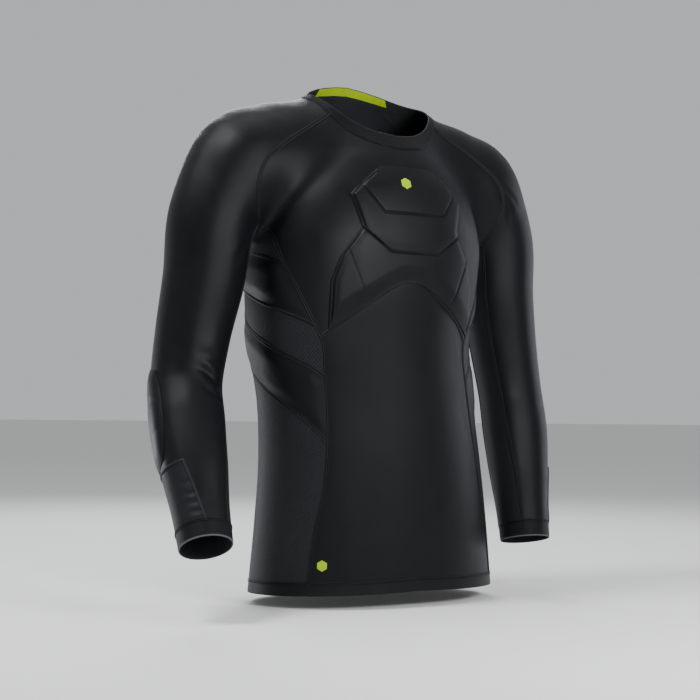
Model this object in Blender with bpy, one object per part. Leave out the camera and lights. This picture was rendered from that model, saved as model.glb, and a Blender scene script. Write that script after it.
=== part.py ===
"""A padded compression shirt that keeps the form of its wearer, with nobody in it.

Metres, +Z up, front toward -Y, the wearer's right toward -X. The origin is the middle of the
neck at the height of the shoulder seams. A general figure is worked out from short tables, seam
lines are laid on it, and each sewn piece is the sheet between its seams, given its thickness.
"""
import bpy
import numpy as np

SEAM_GAP = 0.0003        # open joint between two sewn pieces
CLOTH = 0.0014           # knitted main cloth
MESH_CLOTH = 0.0010      # open mesh panels
BAND = 0.0022            # doubled cloth of hem and cuffs
COLLAR = 0.0020
TAPE = 0.0008            # binding inside the back neck
PLATE = 0.0052           # foam of the chest plates
RIB_PAD = 0.0055         # foam laid in the rib panels
ELBOW_PAD = 0.0040
PLATE_LIFT = 0.0008      # under a plate, clear of the cloth's facets
PLATE_EDGE = 0.0018      # thickness of a plate at its rim

# The figure's trunk. Columns: height, sway to the left, half width, front depth, back depth,
# squareness of the section.
TRUNK = np.array([
    (-0.80, 0.018, 0.194, 0.128, 0.116, 2.20),
    (-0.69, 0.018, 0.188, 0.125, 0.112, 2.20),
    (-0.60, 0.018, 0.180, 0.121, 0.107, 2.20),
    (-0.50, 0.014, 0.171, 0.117, 0.099, 2.20),
    (-0.42, 0.006, 0.167, 0.114, 0.098, 2.20),
    (-0.34, -0.005, 0.170, 0.115, 0.104, 2.25),
    (-0.26, -0.003, 0.176, 0.122, 0.112, 2.30),
    (-0.19, 0.000, 0.176, 0.126, 0.118, 2.30),
    (-0.13, 0.000, 0.158, 0.118, 0.114, 2.20),
    (-0.09, 0.000, 0.132, 0.104, 0.104, 2.10),
    (-0.07, 0.000, 0.118, 0.093, 0.096, 2.05),
    (-0.04, 0.000, 0.102, 0.076, 0.082, 2.00),
    (-0.01, 0.000, 0.093, 0.069, 0.070, 2.00),
    (0.03, 0.000, 0.080, 0.060, 0.052, 2.00),
    (0.10, 0.000, 0.074, 0.056, 0.044, 2.00),
])

# Middle line of each arm. Columns: x outward, y, z, radius. The right forearm reaches forward.
ARMS = {
    "right": np.array([
        (0.150, 0.010, -0.080, 0.0580),
        (0.205, 0.006, -0.106, 0.0620),
        (0.240, 0.004, -0.170, 0.0600),
        (0.254, 0.004, -0.260, 0.0550),
        (0.270, 0.004, -0.340, 0.0500),
        (0.282, -0.004, -0.405, 0.0475),
        (0.291, -0.030, -0.455, 0.0480),
        (0.299, -0.064, -0.510, 0.0440),
        (0.306, -0.098, -0.566, 0.0370),
        (0.311, -0.123, -0.608, 0.0345),
    ]),
    "left": np.array([
        (0.150, 0.010, -0.080, 0.0580),
        (0.205, 0.006, -0.106, 0.0620),
        (0.238, 0.004, -0.170, 0.0600),
        (0.248, 0.004, -0.260, 0.0550),
        (0.260, 0.002, -0.340, 0.0500),
        (0.268, -0.004, -0.405, 0.0475),
        (0.268, -0.016, -0.460, 0.0480),
        (0.264, -0.030, -0.520, 0.0440),
        (0.260, -0.043, -0.576, 0.0385),
        (0.257, -0.054, -0.623, 0.0365),
    ]),
}
SIGN = {"right": -1.0, "left": 1.0}
YOKE = np.array([(0.045, 0.012, -0.050, 0.046), (0.185, 0.006, -0.088, 0.052)])   # x, y, z, radius
YOKE_BLEND = 0.05
ARMPIT_BLEND = (0.006, 0.050, -0.178, 0.024)   # below, extra above, height of the change, its width

# Seams on the front, as x outward and z.
FRONT_RAGLAN = ((0.098, -0.030), (0.135, -0.055), (0.170, -0.078), (0.198, -0.103),
                (0.207, -0.130), (0.201, -0.160), (0.191, -0.186))
ARCH = ((0.121, -0.337), (0.096, -0.314), (0.068, -0.293), (0.042, -0.276), (0.014, -0.261))
# Seams on the back, as x outward and z.
BACK_RAGLAN = ((0.082, 0.002), (0.120, -0.030), (0.158, -0.072), (0.186, -0.115),
               (0.195, -0.152), (0.190, -0.188))
# Seams round the trunk, as degrees from the middle of the front, and z.
SIDE_FRONT = ((76, -0.206), (71, -0.237), (63, -0.280), (56, -0.322), (53.5, -0.337), (53.5, -0.394),
              (54, -0.430), (55, -0.482), (57, -0.540), (61, -0.600), (63, -0.6635))
SIDE_BACK = ((113, -0.206), (115, -0.250), (116, -0.275), (117, -0.325), (117, -0.400),
             (116, -0.480), (115, -0.560), (114, -0.668))
# Neck. Columns: degrees from the front, z of the collar seam, z of the collar's edge.
NECK = np.array([
    (0, -0.0715, -0.0520), (25, -0.0650, -0.0465), (45, -0.0520, -0.0350), (66, -0.0300, -0.0145),
    (90, -0.0110, 0.0045), (125, 0.0100, 0.0285), (150, 0.0175, 0.0360), (180, 0.0205, 0.0395),
])
NECK_FRONT_JOIN, NECK_BACK_JOIN = 66.0, 130.0
SHOULDER_LINE = ((0.100, 0.008, -0.010), (0.135, 0.008, -0.030), (0.175, 0.007, -0.040),
                 (0.215, 0.006, -0.046), (0.250, 0.005, -0.064), (0.277, 0.004, -0.095),
                 (0.295, 0.004, -0.140))
ARMPIT_X = 0.186         # where the gap between arm and trunk closes
HEM_EDGE = np.array([(0, -0.6790), (63, -0.6830), (114, -0.6880), (180, -0.6890)])   # degrees, z
HEM_BAND = 0.0165

# Chest plates, as x outward and z of the outline's right half, top side first.
PLATE_TOP = dict(top=((0.043, -0.102),), side=((0.075, -0.1275),), foot=((0.048, -0.1655),))
PLATE_MIDDLE = dict(top=((0.048, -0.1695), (0.078, -0.1315)), side=((0.0915, -0.1440), (0.0790, -0.1880)),
                    foot=((0.0390, -0.2180),))
PLATE_LOWER = dict(top=((0.0390, -0.2220), (0.0780, -0.1920), (0.1060, -0.2280)),
                   side=((0.1160, -0.2620),),
                   foot=((0.1150, -0.3215), (0.0960, -0.3070), (0.0680, -0.2865), (0.0420, -0.2695),
                         (0.0140, -0.2545)))

# Steps of the sheets.
FRONT_COLS, SIDE_COLS, BACK_COLS, SLEEVE_COLS = 22, 5, 16, 14
RELAX = 12                          # rounds that even a sheet's steps out
RAGLAN_ROWS = 9
SIDE_ROWS = (3, 5, 1, 3, 4, 8)      # armpit, A, B, K, C, D, hem down the side-front seam
ARM_ROWS, FOREARM_ROWS = 19, 5      # rings above the forearm panel, and down its length
FOREARM_COLS = (4, 10)
PAD_ROWS, PAD_COLS = 9, 11

# Down each arm, measured along its middle line.
FIRST_RING = 0.178                  # below the armpit
FOREARM_PANEL = 0.083
CUFF = 0.0225
UNDER_ANGLE = ((0.0, 34.0), (0.35, 32.0), (0.6, 36.0), (0.8, 46.0), (1.0, 52.0))   # share, half angle
FOREARM_FRONT = {"right": (-46, -70), "left": (-38, -42)}   # turn of the panel's front edge, top and cuff
FOREARM_BACK = 62
ELBOW_PAD_SPAN = (0.355, 0.500)     # along the middle line
ELBOW_PAD_TURN, ELBOW_PAD_REACH = 38, (46, 62)   # its middle, and half its width at the ends and half way


def smooth(xs, ys, x):
    """A smooth curve through the table's rows, read at x."""
    xs, ys = np.asarray(xs, float), np.asarray(ys, float)
    flat = ys.ndim == 1
    ys = ys.reshape(len(xs), -1)
    step = np.diff(xs)[:, None]
    rise = np.diff(ys, axis=0) / step
    slope = np.concatenate([rise[:1], (rise[:-1] * step[1:] + rise[1:] * step[:-1]) / (step[1:] + step[:-1]),
                            rise[-1:]])
    x = np.clip(np.asarray(x, float), xs[0], xs[-1])
    i = np.clip(np.searchsorted(xs, x, side="right") - 1, 0, len(xs) - 2)
    h = step[i, 0]
    t = ((x - xs[i]) / h)[..., None]
    h = h[..., None]
    out = (ys[i] * (1 + 2 * t) * (1 - t) ** 2 + slope[i] * h * t * (1 - t) ** 2
           + ys[i + 1] * t * t * (3 - 2 * t) + slope[i + 1] * h * t * t * (t - 1))
    return out[..., 0] if flat else out


def chord_lengths(points):
    return np.concatenate([[0.0], np.cumsum(np.linalg.norm(np.diff(points, axis=0), axis=1))])


def unit(v):
    return v / np.maximum(np.linalg.norm(v, axis=-1, keepdims=True), 1e-12)


class Arm:
    """A tapering tube round a smooth middle line."""

    def __init__(self, side):
        table = ARMS[side] * np.array([SIGN[side], 1, 1, 1])
        self.side = side
        self.table, self.s = table, chord_lengths(table[:, :3])
        self.length = self.s[-1]
        self.grid_s = np.linspace(0, self.length, 33)
        self.grid = smooth(self.s, table, self.grid_s)

    def at(self, s):
        return smooth(self.s, self.table, s)

    def direction(self, s):
        return unit(self.at(s + 0.002)[..., :3] - self.at(s - 0.002)[..., :3])

    def distance(self, p):
        gaps = np.linalg.norm(p[..., None, :] - self.grid[:, :3], axis=-1)
        s = self.grid_s[gaps.argmin(-1)]
        for _ in range(4):
            c, along = self.at(s), self.direction(s)
            s = np.clip(s + ((p - c[..., :3]) * along).sum(-1), 0, self.length)
        c = self.at(s)
        return np.linalg.norm(p - c[..., :3], axis=-1) - c[..., 3]

    def ring(self, s, degrees):
        """Points round the arm: 0 outward, 90 to the back, -90 to the front."""
        c, along = self.at(s), self.direction(s)
        out = np.array([SIGN[self.side], 0.0, 0.0])
        out = unit(out - (out @ along) * along)
        back = np.array([0.0, 1.0, 0.0])
        back = unit(back - (back @ along) * along - (back @ out) * out)
        a = np.radians(degrees)[:, None]
        return c[:3] + c[3] * (np.cos(a) * out + np.sin(a) * back)


RIGHT_ARM, LEFT_ARM = Arm("right"), Arm("left")
ARM_OF = {"right": RIGHT_ARM, "left": LEFT_ARM}


def blend(a, b, width):
    h = np.clip(0.5 + 0.5 * (b - a) / width, 0, 1)
    return b + (a - b) * h - width * h * (1 - h)


def level(p):
    """Height of points above the figure, the outer face of its cloth."""
    p = np.asarray(p, float)
    sway, wide, front, back, square = np.moveaxis(smooth(TRUNK[:, 0], TRUNK[:, 1:], p[..., 2]), -1, 0)
    deep = np.where(p[..., 1] < 0, front, back)
    reach = ((np.abs(p[..., 0] - sway) / wide) ** square + (np.abs(p[..., 1]) / deep) ** square) ** (1 / square)
    trunk = (reach - 1) * np.minimum(wide, deep)
    q = np.stack([np.abs(p[..., 0]), p[..., 1], p[..., 2]], -1)
    bar = YOKE[1] - YOKE[0]
    t = np.clip((q - YOKE[0, :3]) @ bar[:3] / (bar[:3] @ bar[:3]), 0, 1)
    yoke = np.linalg.norm(q - YOKE[0, :3] - t[..., None] * bar[:3], axis=-1) - (YOKE[0, 3] + t * bar[3])
    trunk = blend(trunk, yoke, YOKE_BLEND)
    low, extra, middle, spread = ARMPIT_BLEND
    width = low + extra / (1 + np.exp(-(p[..., 2] - middle) / spread))
    arm = np.full(p.shape[:-1], 9.0)
    for body, mine in ((RIGHT_ARM, p[..., 0] < 0), (LEFT_ARM, p[..., 0] >= 0)):
        if mine.any():
            arm[mine] = body.distance(p[mine])
    return blend(trunk, arm, width)


def normals(p, step=5e-4):
    return unit(np.stack([level(p + step * e) - level(p - step * e) for e in np.eye(3)], -1))


def settle(p, rounds=5, step=5e-4):
    """Move points onto the figure, square to it."""
    p = np.array(p, float)
    for _ in range(rounds):
        slope = np.stack([level(p + step * e) - level(p - step * e) for e in np.eye(3)], -1) / (2 * step)
        p -= (level(p) / np.maximum((slope * slope).sum(-1), 0.05))[..., None] * slope
    return p


def cast(start, toward):
    """Where a line from outside first meets the figure."""
    start, toward = np.array(start, float), unit(np.array(toward, float))
    gone = np.zeros(start.shape[:-1])
    for _ in range(120):
        gone += 0.6 * level(start + gone[..., None] * toward)
    return start + gone[..., None] * toward


def seen(pairs, side, front=True):
    """Points of the front or back, from x outward and z."""
    pairs = np.array(pairs, float)
    y = -0.28 if front else 0.28
    start = np.stack([SIGN[side] * pairs[:, 0], np.full(len(pairs), y), pairs[:, 1]], -1)
    return cast(start, (0, -y, 0))


def round_trunk(pairs, side):
    """Points of the trunk, from degrees round it and z."""
    pairs = np.array(pairs, float)
    sway, wide, front, back, square = smooth(TRUNK[:, 0], TRUNK[:, 1:], pairs[:, 1]).T
    a = np.radians(pairs[:, 0])
    deep = np.where(np.cos(a) > 0, front, back)
    s, c = np.sin(a), -np.cos(a)
    reach = ((np.abs(s) / wide) ** square + (np.abs(c) / deep) ** square) ** (-1 / square)
    return settle(np.stack([SIGN[side] * s * reach + sway, c * reach, pairs[:, 1]], -1))


def line(controls, stops, steps):
    """A seam through its controls, with the given steps between each two of the stops."""
    controls = np.asarray(controls, float)
    s = chord_lengths(controls)
    at = [np.linspace(s[a], s[b], n + 1) for a, b, n in zip(stops, stops[1:], steps)]
    at = np.concatenate([at[0]] + [run[1:] for run in at[1:]])
    return settle(smooth(s, controls, at))


def between(top, foot, left, right):
    """A sheet between four seams, laid on the figure."""
    rows, cols = len(left), len(top)
    v, u = np.linspace(0, 1, rows)[:, None, None], np.linspace(0, 1, cols)[None, :, None]
    sheet = ((1 - v) * top[None] + v * foot[None] + (1 - u) * left[:, None] + u * right[:, None]
             - (1 - u) * (1 - v) * top[0] - u * (1 - v) * top[-1] - (1 - u) * v * foot[0] - u * v * foot[-1])
    sheet[0], sheet[-1], sheet[:, 0], sheet[:, -1] = top, foot, left, right
    sheet[1:-1, 1:-1] = settle(sheet[1:-1, 1:-1])
    for _ in range(RELAX):
        sheet[1:-1, 1:-1] = settle((sheet[:-2, 1:-1] + sheet[2:, 1:-1] + sheet[1:-1, :-2] + sheet[1:-1, 2:]) / 4,
                                   rounds=2)
    return sheet


def over(left, crest, right, shares):
    """Points of an arc from left over the crest to right, at shares of its angle from -1 to 1."""
    middle = (left + right) / 2
    half = np.linalg.norm(right - left) / 2
    height = np.linalg.norm(crest - middle)
    radius = (height ** 2 + half ** 2) / (2 * height)
    up = unit(crest - middle)
    across = right - left
    across = unit(across - (across @ up) * up)
    a = np.arctan2(half, radius - height) * np.asarray(shares)[:, None]
    return crest - radius * up + radius * (np.cos(a) * up + np.sin(a) * across)


def build_wall(name, sheets, material, inset=SEAM_GAP / 2):
    """A closed solid: sheets of points on the figure, given an inner and an outer face."""
    points, faces, lows, highs = [], [], [], []
    for sheet, keep, bottom, top in sheets:
        rows, cols = sheet.shape[:2]
        start = sum(len(p) for p in points)
        points.append(sheet.reshape(-1, 3))
        lows.append(np.broadcast_to(bottom, (rows, cols)).ravel())
        highs.append(np.broadcast_to(top, (rows, cols)).ravel())
        falling = np.abs(level((sheet[:-1, :-1] + sheet[1:, 1:]) / 2))
        rising = np.abs(level((sheet[:-1, 1:] + sheet[1:, :-1]) / 2))
        for i, j in zip(*np.nonzero(all_cells(sheet) if keep is None else keep)):
            a = start + i * cols + j
            b, c, d = a + 1, a + cols + 1, a + cols
            faces += [(a, b, c), (a, c, d)] if falling[i, j] <= rising[i, j] else [(a, b, d), (b, c, d)]
    points, lows, highs = np.concatenate(points), np.concatenate(lows), np.concatenate(highs)
    keys, first, back = np.unique(np.round(points, 6), axis=0, return_index=True, return_inverse=True)
    back = back.ravel()
    points, lows, highs = points[first], lows[first], highs[first]
    faces = back[np.array(faces)]
    faces = faces[(faces[:, 0] != faces[:, 1]) & (faces[:, 1] != faces[:, 2]) & (faces[:, 2] != faces[:, 0])]
    used = np.unique(faces)
    renumber = np.zeros(len(points), int)
    renumber[used] = np.arange(len(used))
    points, lows, highs, faces = points[used], lows[used], highs[used], renumber[faces]
    out = normals(points)
    cross = np.cross(points[faces[:, 1]] - points[faces[:, 0]], points[faces[:, 2]] - points[faces[:, 0]])
    if (cross * out[faces[:, 0]]).sum() < 0:
        faces = faces[:, ::-1]
    edges = np.concatenate([faces[:, [0, 1]], faces[:, [1, 2]], faces[:, [2, 0]]])
    both = {tuple(e) for e in edges}
    rim = [tuple(e) for e in edges if (e[1], e[0]) not in both]
    inward = {}
    for a, b in rim:
        side = unit(np.cross(out[a] + out[b], points[b] - points[a]))
        for v in (a, b):
            inward.setdefault(int(v), []).append(side)
    for v, sides in inward.items():
        turn = sides[0] @ sides[-1] if len(sides) > 1 else 0.0
        points[v] = points[v] + inset * sum(sides) / (1 + max(turn, -0.5) if len(sides) > 1 else 1)
    n = len(points)
    verts = np.concatenate([points + out * highs[:, None], points + out * lows[:, None]])
    skin = [tuple(int(v) for v in f) for f in faces]
    skin += [tuple(int(v) + n for v in f[::-1]) for f in faces]
    for a, b in rim:
        a, b = int(a), int(b)
        skin += [(b, a, a + n), (b, a + n, b + n)]
    mesh = bpy.data.meshes.new(name)
    mesh.from_pydata(verts.tolist(), [], skin)
    mesh.update()
    mesh.materials.append(material)
    obj = bpy.data.objects.new(name, mesh)
    COLLECTION.objects.link(obj)
    return obj


def make_material(name, color, roughness):
    material = bpy.data.materials.new(name)
    material.use_nodes = True
    shader = material.node_tree.nodes["Principled BSDF"]
    shader.inputs["Base Color"].default_value = (*color, 1.0)
    shader.inputs["Roughness"].default_value = roughness
    return material


def cushion(cells, edge, full):
    """Thickness over a sheet's points: thin at the rim of its cells, full inside it."""
    padded = np.pad(cells, 1)
    inside = padded[1:, 1:] & padded[:-1, 1:] & padded[1:, :-1] & padded[:-1, :-1]
    return np.where(inside, full, edge)


def all_cells(sheet):
    return np.ones((sheet.shape[0] - 1, sheet.shape[1] - 1), bool)


def mirrored(outline, part):
    """A plate's side of points, right half then left, from its right half."""
    right, left = seen(outline[part], "right"), seen(outline[part], "left")
    return right, left


def plate_sheet(outline, across, down):
    """A chest plate between its outline's corners. The top side may hold the shoulders' corners."""
    top_r, top_l = mirrored(outline, "top")
    side_r, side_l = mirrored(outline, "side")
    foot_r, foot_l = mirrored(outline, "foot")
    top = np.concatenate([top_r[::-1], top_l])
    foot = np.concatenate([foot_r, foot_l[::-1]])
    right = np.concatenate([top_r[-1:], side_r, foot_r[:1]])
    left = np.concatenate([top_l[-1:], side_l, foot_l[:1]])

    def straight(points, steps):
        s = chord_lengths(points)
        at = np.linspace(0, s[-1], steps + 1)
        for corner in s[1:-1]:
            at[np.abs(at - corner).argmin()] = corner
        return settle(np.stack([np.interp(at, s, points[:, k]) for k in range(3)], -1))

    return between(straight(top, across), straight(foot, across), straight(right, down), straight(left, down))


for existing in list(bpy.data.objects):
    bpy.data.objects.remove(existing, do_unlink=True)
COLLECTION = bpy.data.collections.new("padded_compression_shirt")
bpy.context.scene.collection.children.link(COLLECTION)

charcoal = make_material("knit_cloth", (0.030, 0.032, 0.036), 0.55)
mesh_grey = make_material("mesh_cloth", (0.045, 0.048, 0.053), 0.65)
band_grey = make_material("band_cloth", (0.040, 0.042, 0.046), 0.6)
pad_grey = make_material("pad_cloth", (0.036, 0.038, 0.043), 0.5)
lime = make_material("lime_tape", (0.62, 0.76, 0.03), 0.5)

# Collar seam and edge, as z round the neck.
def neck_line(start, end, steps, column):
    degrees = np.linspace(start, end, steps + 1)
    side = np.where(degrees < 0, "right", "left")
    z = smooth(NECK[:, 0], NECK[:, column], np.abs(degrees))
    return np.concatenate([round_trunk([(abs(d), h)], s) for d, h, s in zip(degrees, z, side)])


neck_front = neck_line(-NECK_FRONT_JOIN, NECK_FRONT_JOIN, FRONT_COLS, 1)
edge_front = neck_line(-NECK_FRONT_JOIN, NECK_FRONT_JOIN, FRONT_COLS, 2)
back_degrees = np.linspace(-NECK_BACK_JOIN, NECK_BACK_JOIN - 360, BACK_COLS + 1)


def neck_back(column):
    half = BACK_COLS // 2
    right = neck_line(-NECK_BACK_JOIN, -180, half, column)
    left = neck_line(180, NECK_BACK_JOIN, half, column)
    return np.concatenate([right[:-1], (right[-1:] + left[:1]) / 2, left[1:]])


neck_rear, edge_rear = neck_back(1), neck_back(2)
neck_side = {"right": neck_line(-NECK_FRONT_JOIN, -NECK_BACK_JOIN, SLEEVE_COLS, 1),
             "left": neck_line(NECK_FRONT_JOIN, NECK_BACK_JOIN, SLEEVE_COLS, 1)}
edge_side = {"right": neck_line(-NECK_FRONT_JOIN, -NECK_BACK_JOIN, SLEEVE_COLS, 2),
             "left": neck_line(NECK_FRONT_JOIN, NECK_BACK_JOIN, SLEEVE_COLS, 2)}


def hem_line(start, end, steps, lift):
    degrees = np.linspace(start, end, steps + 1)
    z = smooth(HEM_EDGE[:, 0], HEM_EDGE[:, 1], np.minimum(np.abs(degrees), 360 - np.abs(degrees))) + lift
    side = np.where(np.sin(np.radians(degrees)) < 0, "right", "left")
    around = np.minimum(np.abs(degrees), 360 - np.abs(degrees))
    return np.concatenate([round_trunk([(d, h)], s) for d, h, s in zip(around, z, side)])


SIDE_A, SIDE_B = SIDE_FRONT[-1][0], SIDE_BACK[-1][0]
hem_front = {k: hem_line(-SIDE_A, SIDE_A, FRONT_COLS, k) for k in (0.0, HEM_BAND)}
hem_rear = {k: hem_line(-SIDE_B, SIDE_B - 360, BACK_COLS, k) for k in (0.0, HEM_BAND)}
hem_side = {"right": {k: hem_line(-SIDE_A, -SIDE_B, SIDE_COLS, k) for k in (0.0, HEM_BAND)},
            "left": {k: hem_line(SIDE_A, SIDE_B, SIDE_COLS, k) for k in (0.0, HEM_BAND)}}

seams = {}
for side in SIGN:
    end = 0 if side == "right" else -1
    raglan = np.concatenate([neck_front[[end]], seen(FRONT_RAGLAN[1:], side)])
    rear_end = 0 if side == "right" else -1
    back_raglan = np.concatenate([neck_rear[[rear_end]], seen(BACK_RAGLAN[1:], side, front=False)])
    raglan_points = line(raglan, (0, len(raglan) - 1), (RAGLAN_ROWS,))
    back_raglan_points = line(back_raglan, (0, len(back_raglan) - 1), (RAGLAN_ROWS,))
    front_side = np.concatenate([raglan_points[-1:], round_trunk(SIDE_FRONT[:-1], side),
                                 hem_front[HEM_BAND][[end]]])
    rear_side = np.concatenate([back_raglan_points[-1:], round_trunk(SIDE_BACK[:-1], side),
                                hem_rear[HEM_BAND][[rear_end]]])
    a, b, k, c, d, h = SIDE_ROWS
    under = cast([(SIGN[side] * ARMPIT_X, y, -0.31) for y in (-0.018, 0.004, 0.026)], (0, 0, 1))
    armpit = np.concatenate([raglan_points[-1:], under, back_raglan_points[-1:]])
    seams[side] = dict(
        raglan=raglan_points, back_raglan=back_raglan_points,
        side_front=line(front_side, (0, 2, 4, 5, 6, 8, len(front_side) - 1), SIDE_ROWS),
        side_back=line(rear_side, (0, 1, 2, 3, 4, len(rear_side) - 1), (a, b, k + c, d, h)),
        armpit=line(armpit, (0, len(armpit) - 1), (SIDE_COLS,)),
    )

# Front, split by the arch under the chest plates.
chest_rows = sum(SIDE_ROWS[:3])
arch_controls = np.concatenate([seams["right"]["side_front"][[chest_rows]], seen(ARCH[1:], "right"),
                                seen(ARCH[:0:-1], "left"), seams["left"]["side_front"][[chest_rows]]])
arch = line(arch_controls, (0, len(arch_controls) - 1), (FRONT_COLS,))


def edge_of(side, *parts):
    runs = [seams[side][name][span] for name, span in parts]
    return np.concatenate([runs[0]] + [run[1:] for run in runs[1:]])


upper = (("raglan", slice(None)), ("side_front", slice(0, chest_rows + 1)))
front_upper = between(neck_front, arch, edge_of("right", *upper), edge_of("left", *upper))
lower = (("side_front", slice(chest_rows, None)),)
front_lower = between(arch, hem_front[HEM_BAND], edge_of("right", *lower), edge_of("left", *lower))
rear = (("back_raglan", slice(None)), ("side_back", slice(None)))
back = between(neck_rear, hem_rear[HEM_BAND], edge_of("right", *rear), edge_of("left", *rear))
build_wall("front_chest", [(front_upper, None, -CLOTH, 0.0)], charcoal)
build_wall("front_body", [(front_lower, None, -CLOTH, 0.0)], charcoal)
build_wall("back_body", [(back, None, -CLOTH, 0.0)], charcoal)

# Five pieces down each side, the second and the fourth holding foam.
side_names = ("underarm_mesh", "rib_pad_upper", "side_mesh_band", "rib_pad_lower", "side_mesh_lower")
for side in SIGN:
    a, b, k, c, d, h = SIDE_ROWS
    ends = np.cumsum([0, a, b, k + c, d, h])
    top = seams[side]["armpit"]
    for index, name in enumerate(side_names):
        first, last = ends[index], ends[index + 1]
        left = seams[side]["side_front"][first:last + 1]
        right = seams[side]["side_back"][first:last + 1]
        if index < len(side_names) - 1:
            foot = line(np.stack([left[-1], right[-1]]), (0, 1), (SIDE_COLS,))
            bow = np.linspace(0, 1, SIDE_COLS + 1)[:, None]
            foot = settle(left[-1] * (1 - bow) + right[-1] * bow)
        else:
            foot = hem_side[side][HEM_BAND]
        foot[0], foot[-1] = left[-1], right[-1]
        sheet = between(top, foot, left, right)
        padded = "pad" in name
        high = cushion(all_cells(sheet), 0.0, RIB_PAD - CLOTH) if padded else 0.0
        thick = CLOTH if padded else MESH_CLOTH
        build_wall(name + "_" + side, [(sheet, None, -thick, high)], pad_grey if padded else mesh_grey)
        top = foot

# Sleeves: the main piece over the shoulder and down the arm, and a mesh strip along its inside.
for side in SIGN:
    arm = ARM_OF[side]
    left, right = seams[side]["raglan"], seams[side]["back_raglan"]
    crest = np.concatenate([neck_side[side][[SLEEVE_COLS // 2]],
                            settle(np.array(SHOULDER_LINE[1:]) * np.array([SIGN[side], 1, 1]))])
    crest = line(crest, (0, len(crest) - 1), (RAGLAN_ROWS,))
    shares = np.linspace(-1, 1, SLEEVE_COLS + 1)
    cap = settle(np.stack([over(left[i], crest[i], right[i], shares) for i in range(1, RAGLAN_ROWS + 1)]))
    cap[:, 0], cap[:, -1] = left[1:], right[1:]
    cuff_s = arm.length - CUFF
    panel_s = cuff_s - FOREARM_PANEL
    down = np.concatenate([np.linspace(FIRST_RING, panel_s, ARM_ROWS),
                           np.linspace(panel_s, cuff_s, FOREARM_ROWS + 1)[1:]])
    first, second = FOREARM_COLS
    tube, strip = [], []
    for s in down:
        share = (s - FIRST_RING) / (arm.length - FIRST_RING)
        half = float(smooth(*zip(*UNDER_ANGLE), share))
        edge = 180 - half
        near = np.clip((s - FIRST_RING) / (panel_s - FIRST_RING), 0, 1) ** 2
        even = edge * np.linspace(-1, 1, SLEEVE_COLS + 1)
        front_edge = np.interp(s, (panel_s, cuff_s), FOREARM_FRONT[side])
        bends = (-edge, even[first] + near * (front_edge - even[first]),
                 even[second] + near * (FOREARM_BACK - even[second]), edge)
        turns = np.interp(np.arange(SLEEVE_COLS + 1), (0, first, second, SLEEVE_COLS), bends)
        tube.append(arm.ring(s, turns))
        strip.append(arm.ring(s, np.linspace(-edge, edge - 360, SIDE_COLS + 1)))
    tube, strip = settle(np.stack(tube)), settle(np.stack(strip))
    strip[:, 0], strip[:, -1] = tube[:, 0], tube[:, -1]
    main = np.concatenate([neck_side[side][None], cap, tube])
    strip = np.concatenate([seams[side]["armpit"][None], strip])
    keep = np.ones((main.shape[0] - 1, SLEEVE_COLS), bool)
    keep[-FOREARM_ROWS:, first:second] = False
    build_wall("sleeve_" + side, [(main, keep, -CLOTH, 0.0)], charcoal)
    build_wall("forearm_panel_" + side, [(main, ~keep, -MESH_CLOTH, 0.0)], mesh_grey)
    build_wall("under_sleeve_" + side, [(strip, None, -MESH_CLOTH, 0.0)], mesh_grey)
    pad = []
    for s in np.linspace(*ELBOW_PAD_SPAN, PAD_ROWS):
        off_middle = abs(2 * (s - ELBOW_PAD_SPAN[0]) / (ELBOW_PAD_SPAN[1] - ELBOW_PAD_SPAN[0]) - 1)
        reach = ELBOW_PAD_REACH[1] + (ELBOW_PAD_REACH[0] - ELBOW_PAD_REACH[1]) * off_middle ** 3
        pad.append(arm.ring(s, ELBOW_PAD_TURN + reach * np.linspace(-1, 1, PAD_COLS)))
    pad = settle(np.stack(pad))
    high = PLATE_LIFT + cushion(all_cells(pad), PLATE_EDGE, ELBOW_PAD)
    build_wall("elbow_pad_" + side, [(pad, None, PLATE_LIFT, high)], pad_grey, inset=0)
    ring = np.concatenate([main[-1], strip[-1][::-1][1:]])
    cuff = [ring]
    for s in (cuff_s + CUFF / 2, arm.length):
        spoke = ring - arm.at(cuff_s)[:3]
        spoke = unit(spoke - (spoke @ arm.direction(s))[:, None] * arm.direction(s))
        cuff.append(arm.at(s)[:3] + spoke * arm.at(s)[3])
    build_wall("cuff_" + side, [(np.stack(cuff), None, -BAND, 0.0)], band_grey)

# Collar, its tape and the hem.
def around(front, rear, sides):
    return np.concatenate([front, sides["left"][1:], rear[::-1][1:], sides["right"][::-1][1:]])


collar_foot, collar_edge = around(neck_front, neck_rear, neck_side), around(edge_front, edge_rear, edge_side)
collar = np.stack([collar_foot, settle((collar_foot + collar_edge) / 2), collar_edge])
build_wall("collar", [(collar, None, -COLLAR, 0.0)], band_grey)
tape_start = FRONT_COLS + SLEEVE_COLS - 1
tape = collar[1:, tape_start:tape_start + BACK_COLS + 3]
build_wall("neck_tape", [(tape, None, -COLLAR - SEAM_GAP - TAPE, -COLLAR - SEAM_GAP)], lime)

hem_sides = {lift: {side: hem_side[side][lift] for side in SIGN} for lift in (0.0, HEM_BAND)}
hem_top = around(hem_front[HEM_BAND], hem_rear[HEM_BAND], hem_sides[HEM_BAND])
hem_edge = around(hem_front[0.0], hem_rear[0.0], hem_sides[0.0])
build_wall("hem_band", [(np.stack([hem_top, hem_edge]), None, -BAND, 0.0)], band_grey)

for name, outline, across, down in (("chest_plate_top", PLATE_TOP, 12, 5),
                                    ("chest_plate_middle", PLATE_MIDDLE, 14, 6),
                                    ("chest_plate_lower", PLATE_LOWER, 20, 7)):
    sheet = plate_sheet(outline, across, down)
    high = PLATE_LIFT + cushion(all_cells(sheet), PLATE_EDGE, PLATE)
    build_wall(name, [(sheet, None, PLATE_LIFT, high)], pad_grey, inset=0)
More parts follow.
